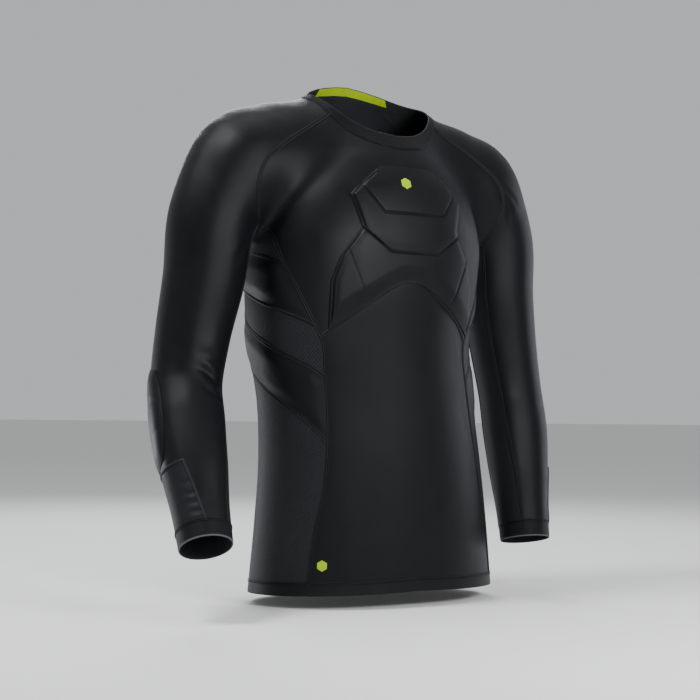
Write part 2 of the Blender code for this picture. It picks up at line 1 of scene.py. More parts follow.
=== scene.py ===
"""The looks of a padded compression shirt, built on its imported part.

Metres, +Z up, front toward -Y, the wearer's right toward -X. The figure and the seam lines are those of
the part's source, read more finely. Each sewn piece is a thin shell between its seams, with folds, foam,
flat seams and stitches as geometry, and knit, mesh and rib as materials.
"""

import bpy
import numpy as np
from mathutils import Matrix, Vector
from mathutils.bvhtree import BVHTree


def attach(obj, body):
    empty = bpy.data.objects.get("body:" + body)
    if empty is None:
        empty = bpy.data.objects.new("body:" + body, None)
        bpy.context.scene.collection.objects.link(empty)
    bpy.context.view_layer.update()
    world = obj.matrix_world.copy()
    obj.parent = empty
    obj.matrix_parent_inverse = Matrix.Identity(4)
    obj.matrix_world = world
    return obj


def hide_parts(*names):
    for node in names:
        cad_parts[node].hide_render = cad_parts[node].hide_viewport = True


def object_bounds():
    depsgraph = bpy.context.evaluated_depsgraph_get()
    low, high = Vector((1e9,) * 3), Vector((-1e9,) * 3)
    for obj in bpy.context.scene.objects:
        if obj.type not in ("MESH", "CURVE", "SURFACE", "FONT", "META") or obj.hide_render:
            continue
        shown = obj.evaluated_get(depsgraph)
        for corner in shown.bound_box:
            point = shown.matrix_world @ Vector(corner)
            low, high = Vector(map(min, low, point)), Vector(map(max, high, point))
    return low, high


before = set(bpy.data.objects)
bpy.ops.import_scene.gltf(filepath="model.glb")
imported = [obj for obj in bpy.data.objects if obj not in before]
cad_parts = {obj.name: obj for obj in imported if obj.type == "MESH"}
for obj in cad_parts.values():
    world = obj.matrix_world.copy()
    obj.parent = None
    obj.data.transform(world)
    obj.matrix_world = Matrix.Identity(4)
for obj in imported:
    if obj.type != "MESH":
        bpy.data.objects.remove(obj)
CAD_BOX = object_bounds()

SEAM_GAP = 0.0003
CLOTH, MESH_CLOTH, BAND, COLLAR, TAPE = 0.0014, 0.0010, 0.0022, 0.0020, 0.0008
PLATE, RIB_PAD, ELBOW_PAD = 0.0052, 0.0055, 0.0040
PLATE_LIFT = 0.0008
STEPS = 6                # steps of a sheet here in one step of its solid
PROBE = 5e-4             # how far apart the figure is read for its slope
CURVE_SAMPLES = 1600

# The figure's trunk. Columns: height, sway to the left, half width, front depth, back depth, squareness.
TRUNK = np.array([
    (-0.80, 0.018, 0.194, 0.128, 0.116, 2.20),
    (-0.69, 0.018, 0.188, 0.125, 0.112, 2.20),
    (-0.60, 0.018, 0.180, 0.121, 0.107, 2.20),
    (-0.50, 0.014, 0.171, 0.117, 0.099, 2.20),
    (-0.42, 0.006, 0.167, 0.114, 0.098, 2.20),
    (-0.34, -0.005, 0.170, 0.115, 0.104, 2.25),
    (-0.26, -0.003, 0.176, 0.122, 0.112, 2.30),
    (-0.19, 0.000, 0.176, 0.126, 0.118, 2.30),
    (-0.13, 0.000, 0.158, 0.118, 0.114, 2.20),
    (-0.09, 0.000, 0.132, 0.104, 0.104, 2.10),
    (-0.07, 0.000, 0.118, 0.093, 0.096, 2.05),
    (-0.04, 0.000, 0.102, 0.076, 0.082, 2.00),
    (-0.01, 0.000, 0.093, 0.069, 0.070, 2.00),
    (0.03, 0.000, 0.080, 0.060, 0.052, 2.00),
    (0.10, 0.000, 0.074, 0.056, 0.044, 2.00),
])

# Middle line of each arm. Columns: x outward, y, z, radius.
ARMS = {
    "right": np.array([
        (0.150, 0.010, -0.080, 0.0580),
        (0.205, 0.006, -0.106, 0.0620),
        (0.240, 0.004, -0.170, 0.0600),
        (0.254, 0.004, -0.260, 0.0550),
        (0.270, 0.004, -0.340, 0.0500),
        (0.282, -0.004, -0.405, 0.0475),
        (0.291, -0.030, -0.455, 0.0480),
        (0.299, -0.064, -0.510, 0.0440),
        (0.306, -0.098, -0.566, 0.0370),
        (0.311, -0.123, -0.608, 0.0345),
    ]),
    "left": np.array([
        (0.150, 0.010, -0.080, 0.0580),
        (0.205, 0.006, -0.106, 0.0620),
        (0.238, 0.004, -0.170, 0.0600),
        (0.248, 0.004, -0.260, 0.0550),
        (0.260, 0.002, -0.340, 0.0500),
        (0.268, -0.004, -0.405, 0.0475),
        (0.268, -0.016, -0.460, 0.0480),
        (0.264, -0.030, -0.520, 0.0440),
        (0.260, -0.043, -0.576, 0.0385),
        (0.257, -0.054, -0.623, 0.0365),
    ]),
}
SIGN = {"right": -1.0, "left": 1.0}
YOKE = np.array([(0.045, 0.012, -0.050, 0.046), (0.185, 0.006, -0.088, 0.052)])   # x, y, z, radius
YOKE_BLEND = 0.05
ARMPIT_BLEND = (0.006, 0.050, -0.178, 0.024)   # below, extra above, height of the change, its width

# Seams on the front and on the back, as x outward and z.
FRONT_RAGLAN = ((0.098, -0.030), (0.135, -0.055), (0.170, -0.078), (0.198, -0.103),
                (0.207, -0.130), (0.201, -0.160), (0.191, -0.186))
ARCH = ((0.121, -0.337), (0.096, -0.314), (0.068, -0.293), (0.042, -0.276), (0.014, -0.261))
BACK_RAGLAN = ((0.082, 0.002), (0.120, -0.030), (0.158, -0.072), (0.186, -0.115),
               (0.195, -0.152), (0.190, -0.188))
# Seams round the trunk, as degrees from the middle of the front, and z.
SIDE_FRONT = ((76, -0.206), (71, -0.237), (63, -0.280), (56, -0.322), (53.5, -0.337), (53.5, -0.394),
              (54, -0.430), (55, -0.482), (57, -0.540), (61, -0.600), (63, -0.6635))
SIDE_BACK = ((113, -0.206), (115, -0.250), (116, -0.275), (117, -0.325), (117, -0.400),
             (116, -0.480), (115, -0.560), (114, -0.668))
# Neck. Columns: degrees from the front, z of the collar seam, z of the collar's edge.
NECK = np.array([
    (0, -0.0715, -0.0520), (25, -0.0650, -0.0465), (45, -0.0520, -0.0350), (66, -0.0300, -0.0145),
    (90, -0.0110, 0.0045), (125, 0.0100, 0.0285), (150, 0.0175, 0.0360), (180, 0.0205, 0.0395),
])
NECK_FRONT_JOIN, NECK_BACK_JOIN = 66.0, 130.0
SHOULDER_LINE = ((0.100, 0.008, -0.010), (0.135, 0.008, -0.030), (0.175, 0.007, -0.040),
                 (0.215, 0.006, -0.046), (0.250, 0.005, -0.064), (0.277, 0.004, -0.095),
                 (0.295, 0.004, -0.140))
ARMPIT_X = 0.186
HEM_EDGE = np.array([(0, -0.6790), (63, -0.6830), (114, -0.6880), (180, -0.6890)])   # degrees, z
HEM_BAND = 0.0165

# Chest plates, as x outward and z of the outline's right half, top side first.
PLATE_TOP = dict(top=((0.043, -0.102),), side=((0.0765, -0.1290),), foot=((0.048, -0.1674),))
PLATE_MIDDLE = dict(top=((0.0481, -0.1678), (0.0769, -0.1293)), side=((0.0915, -0.1440), (0.0790, -0.1898)),
                    foot=((0.0390, -0.2199),))
PLATE_LOWER = dict(top=((0.0391, -0.2203), (0.0794, -0.1901), (0.1060, -0.2280)),
                   side=((0.1170, -0.2620),),
                   foot=((0.1165, -0.3270), (0.0960, -0.3112), (0.0680, -0.2902), (0.0420, -0.2732),
                         (0.0140, -0.2582)))

# Steps of the solids' sheets, which are laid out first and then read more finely.
FRONT_COLS, SIDE_COLS, BACK_COLS, SLEEVE_COLS = 22, 5, 16, 14
RELAX = 12
RAGLAN_ROWS = 9
SIDE_ROWS = (3, 5, 1, 3, 4, 8)
ARM_ROWS, FOREARM_ROWS = 19, 5
FOREARM_COLS = (4, 10)

# Down each arm, measured along its middle line.
FIRST_RING = 0.178
FOREARM_PANEL = 0.083
CUFF = 0.0225
UNDER_ANGLE = ((0.0, 34.0), (0.35, 32.0), (0.6, 36.0), (0.8, 46.0), (1.0, 52.0))   # share, half angle
FOREARM_FRONT = {"right": (-46, -70), "left": (-38, -42)}
FOREARM_BACK = 62
ELBOW_PAD_SPAN = (0.355, 0.500)
ELBOW_PAD_TURN, ELBOW_PAD_REACH = 38, (46, 62)

# The camera, measured in the photograph's pixels.
PHOTO = 700
SENSOR = 36.0            # millimetres
CAMERA_TURN = np.radians(33.0)
CAMERA_FOCUS = 1500.0
HORIZON = 417.0
CAMERA_ROLL = np.radians(-0.57)
CAMERA_MIDDLE = 362.3
CAMERA_HEIGHT = -0.444

VIEW = np.array([np.sin(CAMERA_TURN), np.cos(CAMERA_TURN), 0.0])
RIGHT = np.array([np.cos(CAMERA_TURN), -np.sin(CAMERA_TURN), 0.0])
EYE = (np.array([0.0, 0.0, CAMERA_HEIGHT]) - CAMERA_FOCUS / PHOTO * VIEW
       - (CAMERA_MIDDLE - PHOTO / 2) / PHOTO * RIGHT)
PITCH = np.arctan((HORIZON - PHOTO / 2) / CAMERA_FOCUS)
FORWARD = np.cos(PITCH) * VIEW + np.array([0.0, 0.0, np.sin(PITCH)])
CAMERA_UP = np.cross(RIGHT, FORWARD)
CAMERA_X = np.cos(CAMERA_ROLL) * RIGHT - np.sin(CAMERA_ROLL) * CAMERA_UP
CAMERA_Y = np.sin(CAMERA_ROLL) * RIGHT + np.cos(CAMERA_ROLL) * CAMERA_UP


def smooth(xs, ys, x):
    """A smooth curve through the table's rows, read at x."""
    xs, ys = np.asarray(xs, float), np.asarray(ys, float)
    flat = ys.ndim == 1
    ys = ys.reshape(len(xs), -1)
    step = np.diff(xs)[:, None]
    rise = np.diff(ys, axis=0) / step
    slope = np.concatenate([rise[:1], (rise[:-1] * step[1:] + rise[1:] * step[:-1]) / (step[1:] + step[:-1]),
                            rise[-1:]])
    x = np.clip(np.asarray(x, float), xs[0], xs[-1])
    i = np.clip(np.searchsorted(xs, x, side="right") - 1, 0, len(xs) - 2)
    h = step[i, 0]
    t = ((x - xs[i]) / h)[..., None]
    h = h[..., None]
    out = (ys[i] * (1 + 2 * t) * (1 - t) ** 2 + slope[i] * h * t * (1 - t) ** 2
           + ys[i + 1] * t * t * (3 - 2 * t) + slope[i + 1] * h * t * t * (t - 1))
    return out[..., 0] if flat else out


def chord_lengths(points):
    """How far along a row each of its points is."""
    return np.concatenate([[0.0], np.cumsum(np.linalg.norm(np.diff(points, axis=0), axis=1))])


def unit(v):
    return v / np.maximum(np.linalg.norm(v, axis=-1, keepdims=True), 1e-12)


class Curve:
    """A smooth curve through a table's rows, read at many places at once."""

    def __init__(self, xs, ys):
        self.low, self.high = xs[0], xs[-1]
        self.values = smooth(xs, ys, np.linspace(xs[0], xs[-1], CURVE_SAMPLES + 1))

    def __call__(self, x):
        t = (np.clip(x, self.low, self.high) - self.low) * (CURVE_SAMPLES / (self.high - self.low))
        i = np.minimum(t.astype(int) if isinstance(t, np.ndarray) else int(t), CURVE_SAMPLES - 1)
        share = np.asarray(t - i)[..., None]
        return self.values[i] * (1 - share) + self.values[i + 1] * share


class Arm:
    """A tapering tube round a smooth middle line."""

    def __init__(self, side):
        table = ARMS[side] * np.array([SIGN[side], 1, 1, 1])
        self.side = side
        s = chord_lengths(table[:, :3])
        self.length = s[-1]
        self.at = Curve(s, table)
        self.grid_s = np.linspace(0, self.length, 33)
        self.grid = self.at(self.grid_s)

    def direction(self, s):
        return unit(self.at(s + 0.002)[..., :3] - self.at(s - 0.002)[..., :3])

    def distance(self, p):
        gaps = np.linalg.norm(p[..., None, :] - self.grid[:, :3], axis=-1)
        s = self.grid_s[gaps.argmin(-1)]
        for _ in range(3):
            c, along = self.at(s), self.direction(s)
            s = np.clip(s + ((p - c[..., :3]) * along).sum(-1), 0, self.length)
        c = self.at(s)
        return np.linalg.norm(p - c[..., :3], axis=-1) - c[..., 3]

    def ring(self, s, degrees):
        """Points round the arm: 0 outward, 90 to the back, -90 to the front."""
        s = np.broadcast_to(s, np.shape(degrees))
        c, along = self.at(s), self.direction(s)
        out = np.array([SIGN[self.side], 0.0, 0.0])
        out = unit(out - (along @ out)[..., None] * along)
        back = np.cross(out, along) * SIGN[self.side]
        a = np.radians(degrees)[..., None]
        return c[..., :3] + c[..., 3:] * (np.cos(a) * out + np.sin(a) * back)


ARM_OF = {side: Arm(side) for side in SIGN}


def blend(a, b, width):
    """The lower of two heights, rounded where they meet."""
    h = np.clip(0.5 + 0.5 * (b - a) / width, 0, 1)
    return b + (a - b) * h - width * h * (1 - h)


TRUNK_AT = Curve(TRUNK[:, 0], TRUNK[:, 1:])


def level(p):
    """Height of points above the figure, the outer face of its cloth."""
    p = np.asarray(p, float)
    sway, wide, front, back, square = np.moveaxis(TRUNK_AT(p[..., 2]), -1, 0)
    deep = np.where(p[..., 1] < 0, front, back)
    reach = (np.abs(p[..., 0] - sway) / wide) ** square + (np.abs(p[..., 1]) / deep) ** square
    reach = reach ** (1 / square)
    trunk = (reach - 1) * np.minimum(wide, deep)
    q = np.stack([np.abs(p[..., 0]), p[..., 1], p[..., 2]], -1)
    bar = YOKE[1] - YOKE[0]
    t = np.clip((q - YOKE[0, :3]) @ bar[:3] / (bar[:3] @ bar[:3]), 0, 1)
    yoke = np.linalg.norm(q - YOKE[0, :3] - t[..., None] * bar[:3], axis=-1) - (YOKE[0, 3] + t * bar[3])
    trunk = blend(trunk, yoke, YOKE_BLEND)
    low, extra, middle, spread = ARMPIT_BLEND
    width = low + extra / (1 + np.exp(-(p[..., 2] - middle) / spread))
    arm = np.full(p.shape[:-1], 9.0)
    for side, mine in (("right", p[..., 0] < 0), ("left", p[..., 0] >= 0)):
        if mine.any():
            arm[mine] = ARM_OF[side].distance(p[mine])
    return blend(trunk, arm, width)


def climb(p):
    """The figure's slope at points, times the length that it is read over."""
    return np.stack([level(p + PROBE * e) - level(p - PROBE * e) for e in np.eye(3)], -1)


def normals(p):
    return unit(climb(p))


def settle(p, rounds=5):
    """Move points onto the figure, square to it."""
    p = np.array(p, float)
    for _ in range(rounds):
        slope = climb(p) / (2 * PROBE)
        p -= (level(p) / np.maximum((slope * slope).sum(-1), 0.05))[..., None] * slope
    return p


def cast(start, toward):
    """Where a line from outside first meets the figure."""
    start, toward = np.array(start, float), unit(np.array(toward, float))
    gone = np.zeros(start.shape[:-1])
    for _ in range(120):
        gone += 0.6 * level(start + gone[..., None] * toward)
    return start + gone[..., None] * toward


def seen(pairs, side, front=True):
    """Points of the front or back, from x outward and z."""
    pairs = np.array(pairs, float)
    y = -0.28 if front else 0.28
    start = np.stack([SIGN[side] * pairs[:, 0], np.full(len(pairs), y), pairs[:, 1]], -1)
    return cast(start, (0, -y, 0))


def pictured(pixels):
    """Points of the figure that the camera sees at pixels of the photograph."""
    x, y = np.array(pixels, float).T
    toward = (FORWARD * CAMERA_FOCUS + (x - PHOTO / 2)[:, None] * CAMERA_X
              + (PHOTO / 2 - y)[:, None] * CAMERA_Y)
    return settle(cast(np.broadcast_to(EYE, toward.shape), toward))


def round_trunk(pairs, side):
    """Points of the trunk, from degrees round it and z. side is one side, or -1 or 1 for each point."""
    pairs = np.array(pairs, float)
    sign = SIGN[side] if isinstance(side, str) else side
    sway, wide, front, back, square = TRUNK_AT(pairs[:, 1]).T
    a = np.radians(pairs[:, 0])
    deep = np.where(np.cos(a) > 0, front, back)
    s, c = np.sin(a), -np.cos(a)
    reach = ((np.abs(s) / wide) ** square + (np.abs(c) / deep) ** square) ** (-1 / square)
    return settle(np.stack([sign * s * reach + sway, c * reach, pairs[:, 1]], -1))


def line(controls, stops, steps):
    """A seam through its controls, with the given steps of the solid between each two of the stops."""
    controls = np.asarray(controls, float)
    s = chord_lengths(controls)
    at = [np.linspace(s[a], s[b], n * STEPS + 1) for a, b, n in zip(stops, stops[1:], steps)]
    at = np.concatenate([at[0]] + [run[1:] for run in at[1:]])
    return settle(smooth(s, controls, at))


def resample(grid, axis):
    """A grid read more finely along one axis, on smooth curves through its points."""
    grid = np.moveaxis(grid, axis, 0)
    padded = np.concatenate([2 * grid[:1] - grid[1:2], grid, 2 * grid[-1:] - grid[-2:-1]])
    at = np.linspace(0, len(grid) - 1, (len(grid) - 1) * STEPS + 1)
    i = np.minimum(at.astype(int), len(grid) - 2)
    t = (at - i).reshape(-1, *[1] * (grid.ndim - 1))
    a, b, c, d = padded[i], padded[i + 1], padded[i + 2], padded[i + 3]
    fine = b + 0.5 * t * (c - a + t * (2 * a - 5 * b + 4 * c - d + t * (3 * (b - c) + d - a)))
    return np.moveaxis(fine, 0, axis)


def coons(top, foot, left, right):
    """A sheet spanned between four rows of points."""
    v, u = np.linspace(0, 1, len(left))[:, None, None], np.linspace(0, 1, len(top))[None, :, None]
    return ((1 - v) * top[None] + v * foot[None] + (1 - u) * left[:, None] + u * right[:, None]
            - (1 - u) * (1 - v) * top[0] - u * (1 - v) * top[-1] - (1 - u) * v * foot[0] - u * v * foot[-1])


def relax(sheet):
    """A sheet with its points evened out on the figure."""
    for _ in range(RELAX):
        middle = (sheet[:-2, 1:-1] + sheet[2:, 1:-1] + sheet[1:-1, :-2] + sheet[1:-1, 2:]) / 4
        sheet[1:-1, 1:-1] = settle(middle, rounds=2)
    return sheet


def refine(coarse, top=None, foot=None, left=None, right=None):
    """The solid's sheet read more finely, its edges moved onto the fine seams."""
    sheet = resample(resample(coarse, 0), 1)
    top = sheet[0] if top is None else top
    foot = sheet[-1] if foot is None else foot
    left = sheet[:, 0] if left is None else left
    right = sheet[:, -1] if right is None else right
    sheet += coons(top - sheet[0], foot - sheet[-1], left - sheet[:, 0], right - sheet[:, -1])
    sheet[1:-1, 1:-1] = settle(sheet[1:-1, 1:-1], rounds=2)
    sheet[0], sheet[-1], sheet[:, 0], sheet[:, -1] = top, foot, left, right
    return sheet


def between(top, foot, left, right):
    """A sheet between four fine seams, laid on the figure as its solid is."""
    edges = [edge[::STEPS] for edge in (top, foot, left, right)]
    coarse = coons(*edges)
    coarse[0], coarse[-1], coarse[:, 0], coarse[:, -1] = edges
    coarse[1:-1, 1:-1] = settle(coarse[1:-1, 1:-1])
    return refine(relax(coarse), top, foot, left, right)


def over(left, crest, right, shares):
    """Points of an arc from left over the crest to right, at shares of its angle from -1 to 1."""
    middle = (left + right) / 2
    half = np.linalg.norm(right - left) / 2
    height = np.linalg.norm(crest - middle)
    radius = (height ** 2 + half ** 2) / (2 * height)
    up = unit(crest - middle)
    across = right - left
    across = unit(across - (across @ up) * up)
    a = np.arctan2(half, radius - height) * np.asarray(shares)[:, None]
    return crest - radius * up + radius * (np.cos(a) * up + np.sin(a) * across)


CHUNK = 2000             # points measured at once


def nearest(p, points):
    """Distance from each point of p to a row of points, and the index of the nearest."""
    flat = p.reshape(-1, 3)
    gap, index = np.empty(len(flat)), np.empty(len(flat), int)
    for k in range(0, len(flat), CHUNK):
        far = np.linalg.norm(flat[k:k + CHUNK, None] - points[None], axis=-1)
        index[k:k + CHUNK] = far.argmin(1)
        gap[k:k + CHUNK] = far.min(1)
    return gap.reshape(p.shape[:-1]), index.reshape(p.shape[:-1])


def dense(points, pitch=0.0015):
    """A row of points read again at an even pitch."""
    s = chord_lengths(points)
    at = np.linspace(0, s[-1], max(2, int(s[-1] / pitch) + 1))
    return np.stack([np.interp(at, s, points[:, k]) for k in range(3)], -1)


# Seams, as fine rows of points.
def neck_line(start, end, steps, column):
    degrees = np.linspace(start, end, steps * STEPS + 1)
    z = smooth(NECK[:, 0], NECK[:, column], np.abs(degrees))
    return round_trunk(np.stack([np.abs(degrees), z], -1), np.where(degrees < 0, -1.0, 1.0))


def neck_back(column):
    half = BACK_COLS // 2
    right = neck_line(-NECK_BACK_JOIN, -180, half, column)
    left = neck_line(180, NECK_BACK_JOIN, half, column)
    return np.concatenate([right[:-1], (right[-1:] + left[:1]) / 2, left[1:]])


def hem_line(start, end, steps, lift):
    degrees = np.linspace(start, end, steps * STEPS + 1)
    turned = np.minimum(np.abs(degrees), 360 - np.abs(degrees))
    z = smooth(HEM_EDGE[:, 0], HEM_EDGE[:, 1], turned) + lift
    return round_trunk(np.stack([turned, z], -1), np.where(np.sin(np.radians(degrees)) < 0, -1.0, 1.0))


def around(front, rear, sides):
    return np.concatenate([front, sides["left"][1:], rear[::-1][1:], sides["right"][::-1][1:]])


SEAM_COLUMN, EDGE_COLUMN = NECK_COLUMNS = 1, 2
neck_front = {c: neck_line(-NECK_FRONT_JOIN, NECK_FRONT_JOIN, FRONT_COLS, c) for c in NECK_COLUMNS}
neck_rear = {c: neck_back(c) for c in NECK_COLUMNS}
neck_side = {c: {side: neck_line(sign * NECK_FRONT_JOIN, sign * NECK_BACK_JOIN, SLEEVE_COLS, c)
                 for side, sign in SIGN.items()} for c in NECK_COLUMNS}
SIDE_A, SIDE_B = SIDE_FRONT[-1][0], SIDE_BACK[-1][0]
HEM_LIFTS = 0.0, HEM_BAND
hem_front = {k: hem_line(-SIDE_A, SIDE_A, FRONT_COLS, k) for k in HEM_LIFTS}
hem_rear = {k: hem_line(-SIDE_B, SIDE_B - 360, BACK_COLS, k) for k in HEM_LIFTS}
hem_side = {k: {side: hem_line(sign * SIDE_A, sign * SIDE_B, SIDE_COLS, k) for side, sign in SIGN.items()}
            for k in HEM_LIFTS}

seams = {}
for side in SIGN:
    end = 0 if side == "right" else -1
    raglan = np.concatenate([neck_front[SEAM_COLUMN][[end]], seen(FRONT_RAGLAN[1:], side)])
    back_raglan = np.concatenate([neck_rear[SEAM_COLUMN][[end]], seen(BACK_RAGLAN[1:], side, front=False)])
    raglan = line(raglan, (0, len(raglan) - 1), (RAGLAN_ROWS,))
    back_raglan = line(back_raglan, (0, len(back_raglan) - 1), (RAGLAN_ROWS,))
    front_side = np.concatenate([raglan[-1:], round_trunk(SIDE_FRONT[:-1], side), hem_front[HEM_BAND][[end]]])
    rear_side = np.concatenate([back_raglan[-1:], round_trunk(SIDE_BACK[:-1], side),
                                hem_rear[HEM_BAND][[end]]])
    a, b, k, c, d, h = SIDE_ROWS
    under = cast([(SIGN[side] * ARMPIT_X, y, -0.31) for y in (-0.018, 0.004, 0.026)], (0, 0, 1))
    armpit = np.concatenate([raglan[-1:], under, back_raglan[-1:]])
    seams[side] = dict(
        raglan=raglan, back_raglan=back_raglan,
        side_front=line(front_side, (0, 2, 4, 5, 6, 8, len(front_side) - 1), SIDE_ROWS),
        side_back=line(rear_side, (0, 1, 2, 3, 4, len(rear_side) - 1), (a, b, k + c, d, h)),
        armpit=line(armpit, (0, len(armpit) - 1), (SIDE_COLS,)),
    )

chest_rows = sum(SIDE_ROWS[:3]) * STEPS
arch_controls = np.concatenate([seams["right"]["side_front"][[chest_rows]], seen(ARCH[1:], "right"),
                                seen(ARCH[:0:-1], "left"), seams["left"]["side_front"][[chest_rows]]])
arch = line(arch_controls, (0, len(arch_controls) - 1), (FRONT_COLS,))


def edge_of(side, *parts):
    runs = [seams[side][name][span] for name, span in parts]
    return np.concatenate([runs[0]] + [run[1:] for run in runs[1:]])


# Sheets of points on the figure, one for each sewn piece.
sheets = {}
upper = (("raglan", slice(None)), ("side_front", slice(0, chest_rows + 1)))
lower = (("side_front", slice(chest_rows, None)),)
rear = (("back_raglan", slice(None)), ("side_back", slice(None)))
sheets["front_chest"] = between(neck_front[SEAM_COLUMN], arch, edge_of("right", *upper),
                                edge_of("left", *upper))
sheets["front_body"] = between(arch, hem_front[HEM_BAND], edge_of("right", *lower), edge_of("left", *lower))
sheets["back_body"] = between(neck_rear[SEAM_COLUMN], hem_rear[HEM_BAND], edge_of("right", *rear),
                              edge_of("left", *rear))

side_names = ("underarm_mesh", "rib_pad_upper", "side_mesh_band", "rib_pad_lower", "side_mesh_lower")
side_ends = np.cumsum([0, SIDE_ROWS[0], SIDE_ROWS[1], SIDE_ROWS[2] + SIDE_ROWS[3], *SIDE_ROWS[4:]]) * STEPS
for side in SIGN:
    top = seams[side]["armpit"]
    for index, name in enumerate(side_names):
        first, last = side_ends[index], side_ends[index + 1]
        left = seams[side]["side_front"][first:last + 1]
        right = seams[side]["side_back"][first:last + 1]
        if index < len(side_names) - 1:
            bow = np.linspace(0, 1, SIDE_COLS * STEPS + 1)[:, None]
            foot = settle(left[-1] * (1 - bow) + right[-1] * bow)
        else:
            foot = hem_side[HEM_BAND][side].copy()
        foot[0], foot[-1] = left[-1], right[-1]
        sheets[name + "_" + side] = between(top, foot, left, right)
        seams[side][name + "_foot"] = foot
        top = foot

sleeve_kept = {}
for side in SIGN:
    arm = ARM_OF[side]
    left, right = seams[side]["raglan"], seams[side]["back_raglan"]
    crest = np.concatenate([neck_side[SEAM_COLUMN][side][[SLEEVE_COLS * STEPS // 2]],
                            settle(np.array(SHOULDER_LINE[1:]) * np.array([SIGN[side], 1, 1]))])
    crest = line(crest, (0, len(crest) - 1), (RAGLAN_ROWS,))
    shares = np.linspace(-1, 1, SLEEVE_COLS + 1)
    cap = settle(np.stack([over(left[i], crest[i], right[i], shares)
                           for i in range(STEPS, RAGLAN_ROWS * STEPS + 1, STEPS)]))
    cap[:, 0], cap[:, -1] = left[STEPS::STEPS], right[STEPS::STEPS]
    cuff_s = arm.length - CUFF
    panel_s = cuff_s - FOREARM_PANEL
    down = np.concatenate([np.linspace(FIRST_RING, panel_s, ARM_ROWS),
                           np.linspace(panel_s, cuff_s, FOREARM_ROWS + 1)[1:]])
    first, second = FOREARM_COLS
    tube, strip = [], []
    for s in down:
        share = (s - FIRST_RING) / (arm.length - FIRST_RING)
        edge = 180 - float(smooth(*zip(*UNDER_ANGLE), share))
        near = np.clip((s - FIRST_RING) / (panel_s - FIRST_RING), 0, 1) ** 2
        even = edge * np.linspace(-1, 1, SLEEVE_COLS + 1)
        front_edge = np.interp(s, (panel_s, cuff_s), FOREARM_FRONT[side])
        bends = (-edge, even[first] + near * (front_edge - even[first]),
                 even[second] + near * (FOREARM_BACK - even[second]), edge)
        turns = np.interp(np.arange(SLEEVE_COLS + 1), (0, first, second, SLEEVE_COLS), bends)
        tube.append(arm.ring(s, turns))
        strip.append(arm.ring(s, np.linspace(-edge, edge - 360, SIDE_COLS + 1)))
    tube, strip = settle(np.stack(tube)), settle(np.stack(strip))
    strip[:, 0], strip[:, -1] = tube[:, 0], tube[:, -1]
    main = np.concatenate([neck_side[SEAM_COLUMN][side][::STEPS][None], cap, tube])
    strip = np.concatenate([seams[side]["armpit"][::STEPS][None], strip])
    edges = [resample(main[:, k], 0) for k in (0, -1)]
    under_edges = [settle(edge[RAGLAN_ROWS * STEPS:]) for edge in edges]
    left = np.concatenate([left, under_edges[0][1:]])
    right = np.concatenate([right, under_edges[1][1:]])
    main = refine(main, top=neck_side[SEAM_COLUMN][side], left=left, right=right)
    strip = refine(strip, top=seams[side]["armpit"], left=under_edges[0], right=under_edges[1])
    keep = np.ones((main.shape[0] - 1, main.shape[1] - 1), bool)
    keep[-FOREARM_ROWS * STEPS:, first * STEPS:second * STEPS] = False
    sheets["sleeve_" + side] = sheets["forearm_panel_" + side] = main
    sheets["under_sleeve_" + side] = strip
    sleeve_kept["sleeve_" + side], sleeve_kept["forearm_panel_" + side] = keep, ~keep
    seams[side]["under_front"], seams[side]["under_back"] = under_edges
    panel_row = -FOREARM_ROWS * STEPS - 1
    seams[side]["forearm"] = np.concatenate([main[:panel_row:-1, first * STEPS],
                                             main[panel_row, first * STEPS:second * STEPS + 1],
                                             main[panel_row + 1:, second * STEPS]])
    seams[side]["wrist"] = np.concatenate([main[-1], strip[-1][::-1][1:]])


# Meshes. Each corner keeps its place on the cloth: metres across, metres down and metres from the rim,
# which is negative on the inner face.
def cloth_places(sheet):
    across = np.linalg.norm(np.diff(sheet, axis=1), axis=-1).cumsum(1)
    across = np.pad(across, ((0, 0), (1, 0)))
    across -= across[:, [sheet.shape[1] // 2]]
    down = np.linalg.norm(np.diff(sheet, axis=0), axis=-1).mean(1).cumsum()
    down = np.broadcast_to(np.pad(down, (1, 0))[:, None], across.shape)
    return across, down


def whole(sheet):
    """All of a sheet's cells, kept."""
    return np.ones((sheet.shape[0] - 1, sheet.shape[1] - 1), bool)


def rim_gap(sheet, keep):
    """Distance of a sheet's points from the rim of its kept cells."""
    full = np.pad(keep, 1)
    inside = full[1:, 1:] & full[:-1, 1:] & full[1:, :-1] & full[:-1, :-1]
    touched = full[1:, 1:] | full[:-1, 1:] | full[1:, :-1] | full[:-1, :-1]
    return nearest(sheet, sheet[touched & ~inside])[0]


def add_mesh(name, verts, faces, material, corners=None, crisp=38.0):
    mesh = bpy.data.meshes.new(name)
    mesh.from_pydata(np.asarray(verts).tolist(), [], [tuple(map(int, f)) for f in faces])
    mesh.materials.append(material)
    mesh.update()
    mesh.shade_smooth()
    mesh.set_sharp_from_angle(angle=np.radians(crisp))
    if corners is not None:
        place = mesh.attributes.new("cloth", "FLOAT_VECTOR", "CORNER")
        place.data.foreach_set("vector", np.asarray(corners, np.float32).ravel())
    obj = bpy.data.objects.new(name, mesh)
    bpy.context.scene.collection.objects.link(obj)
    return obj


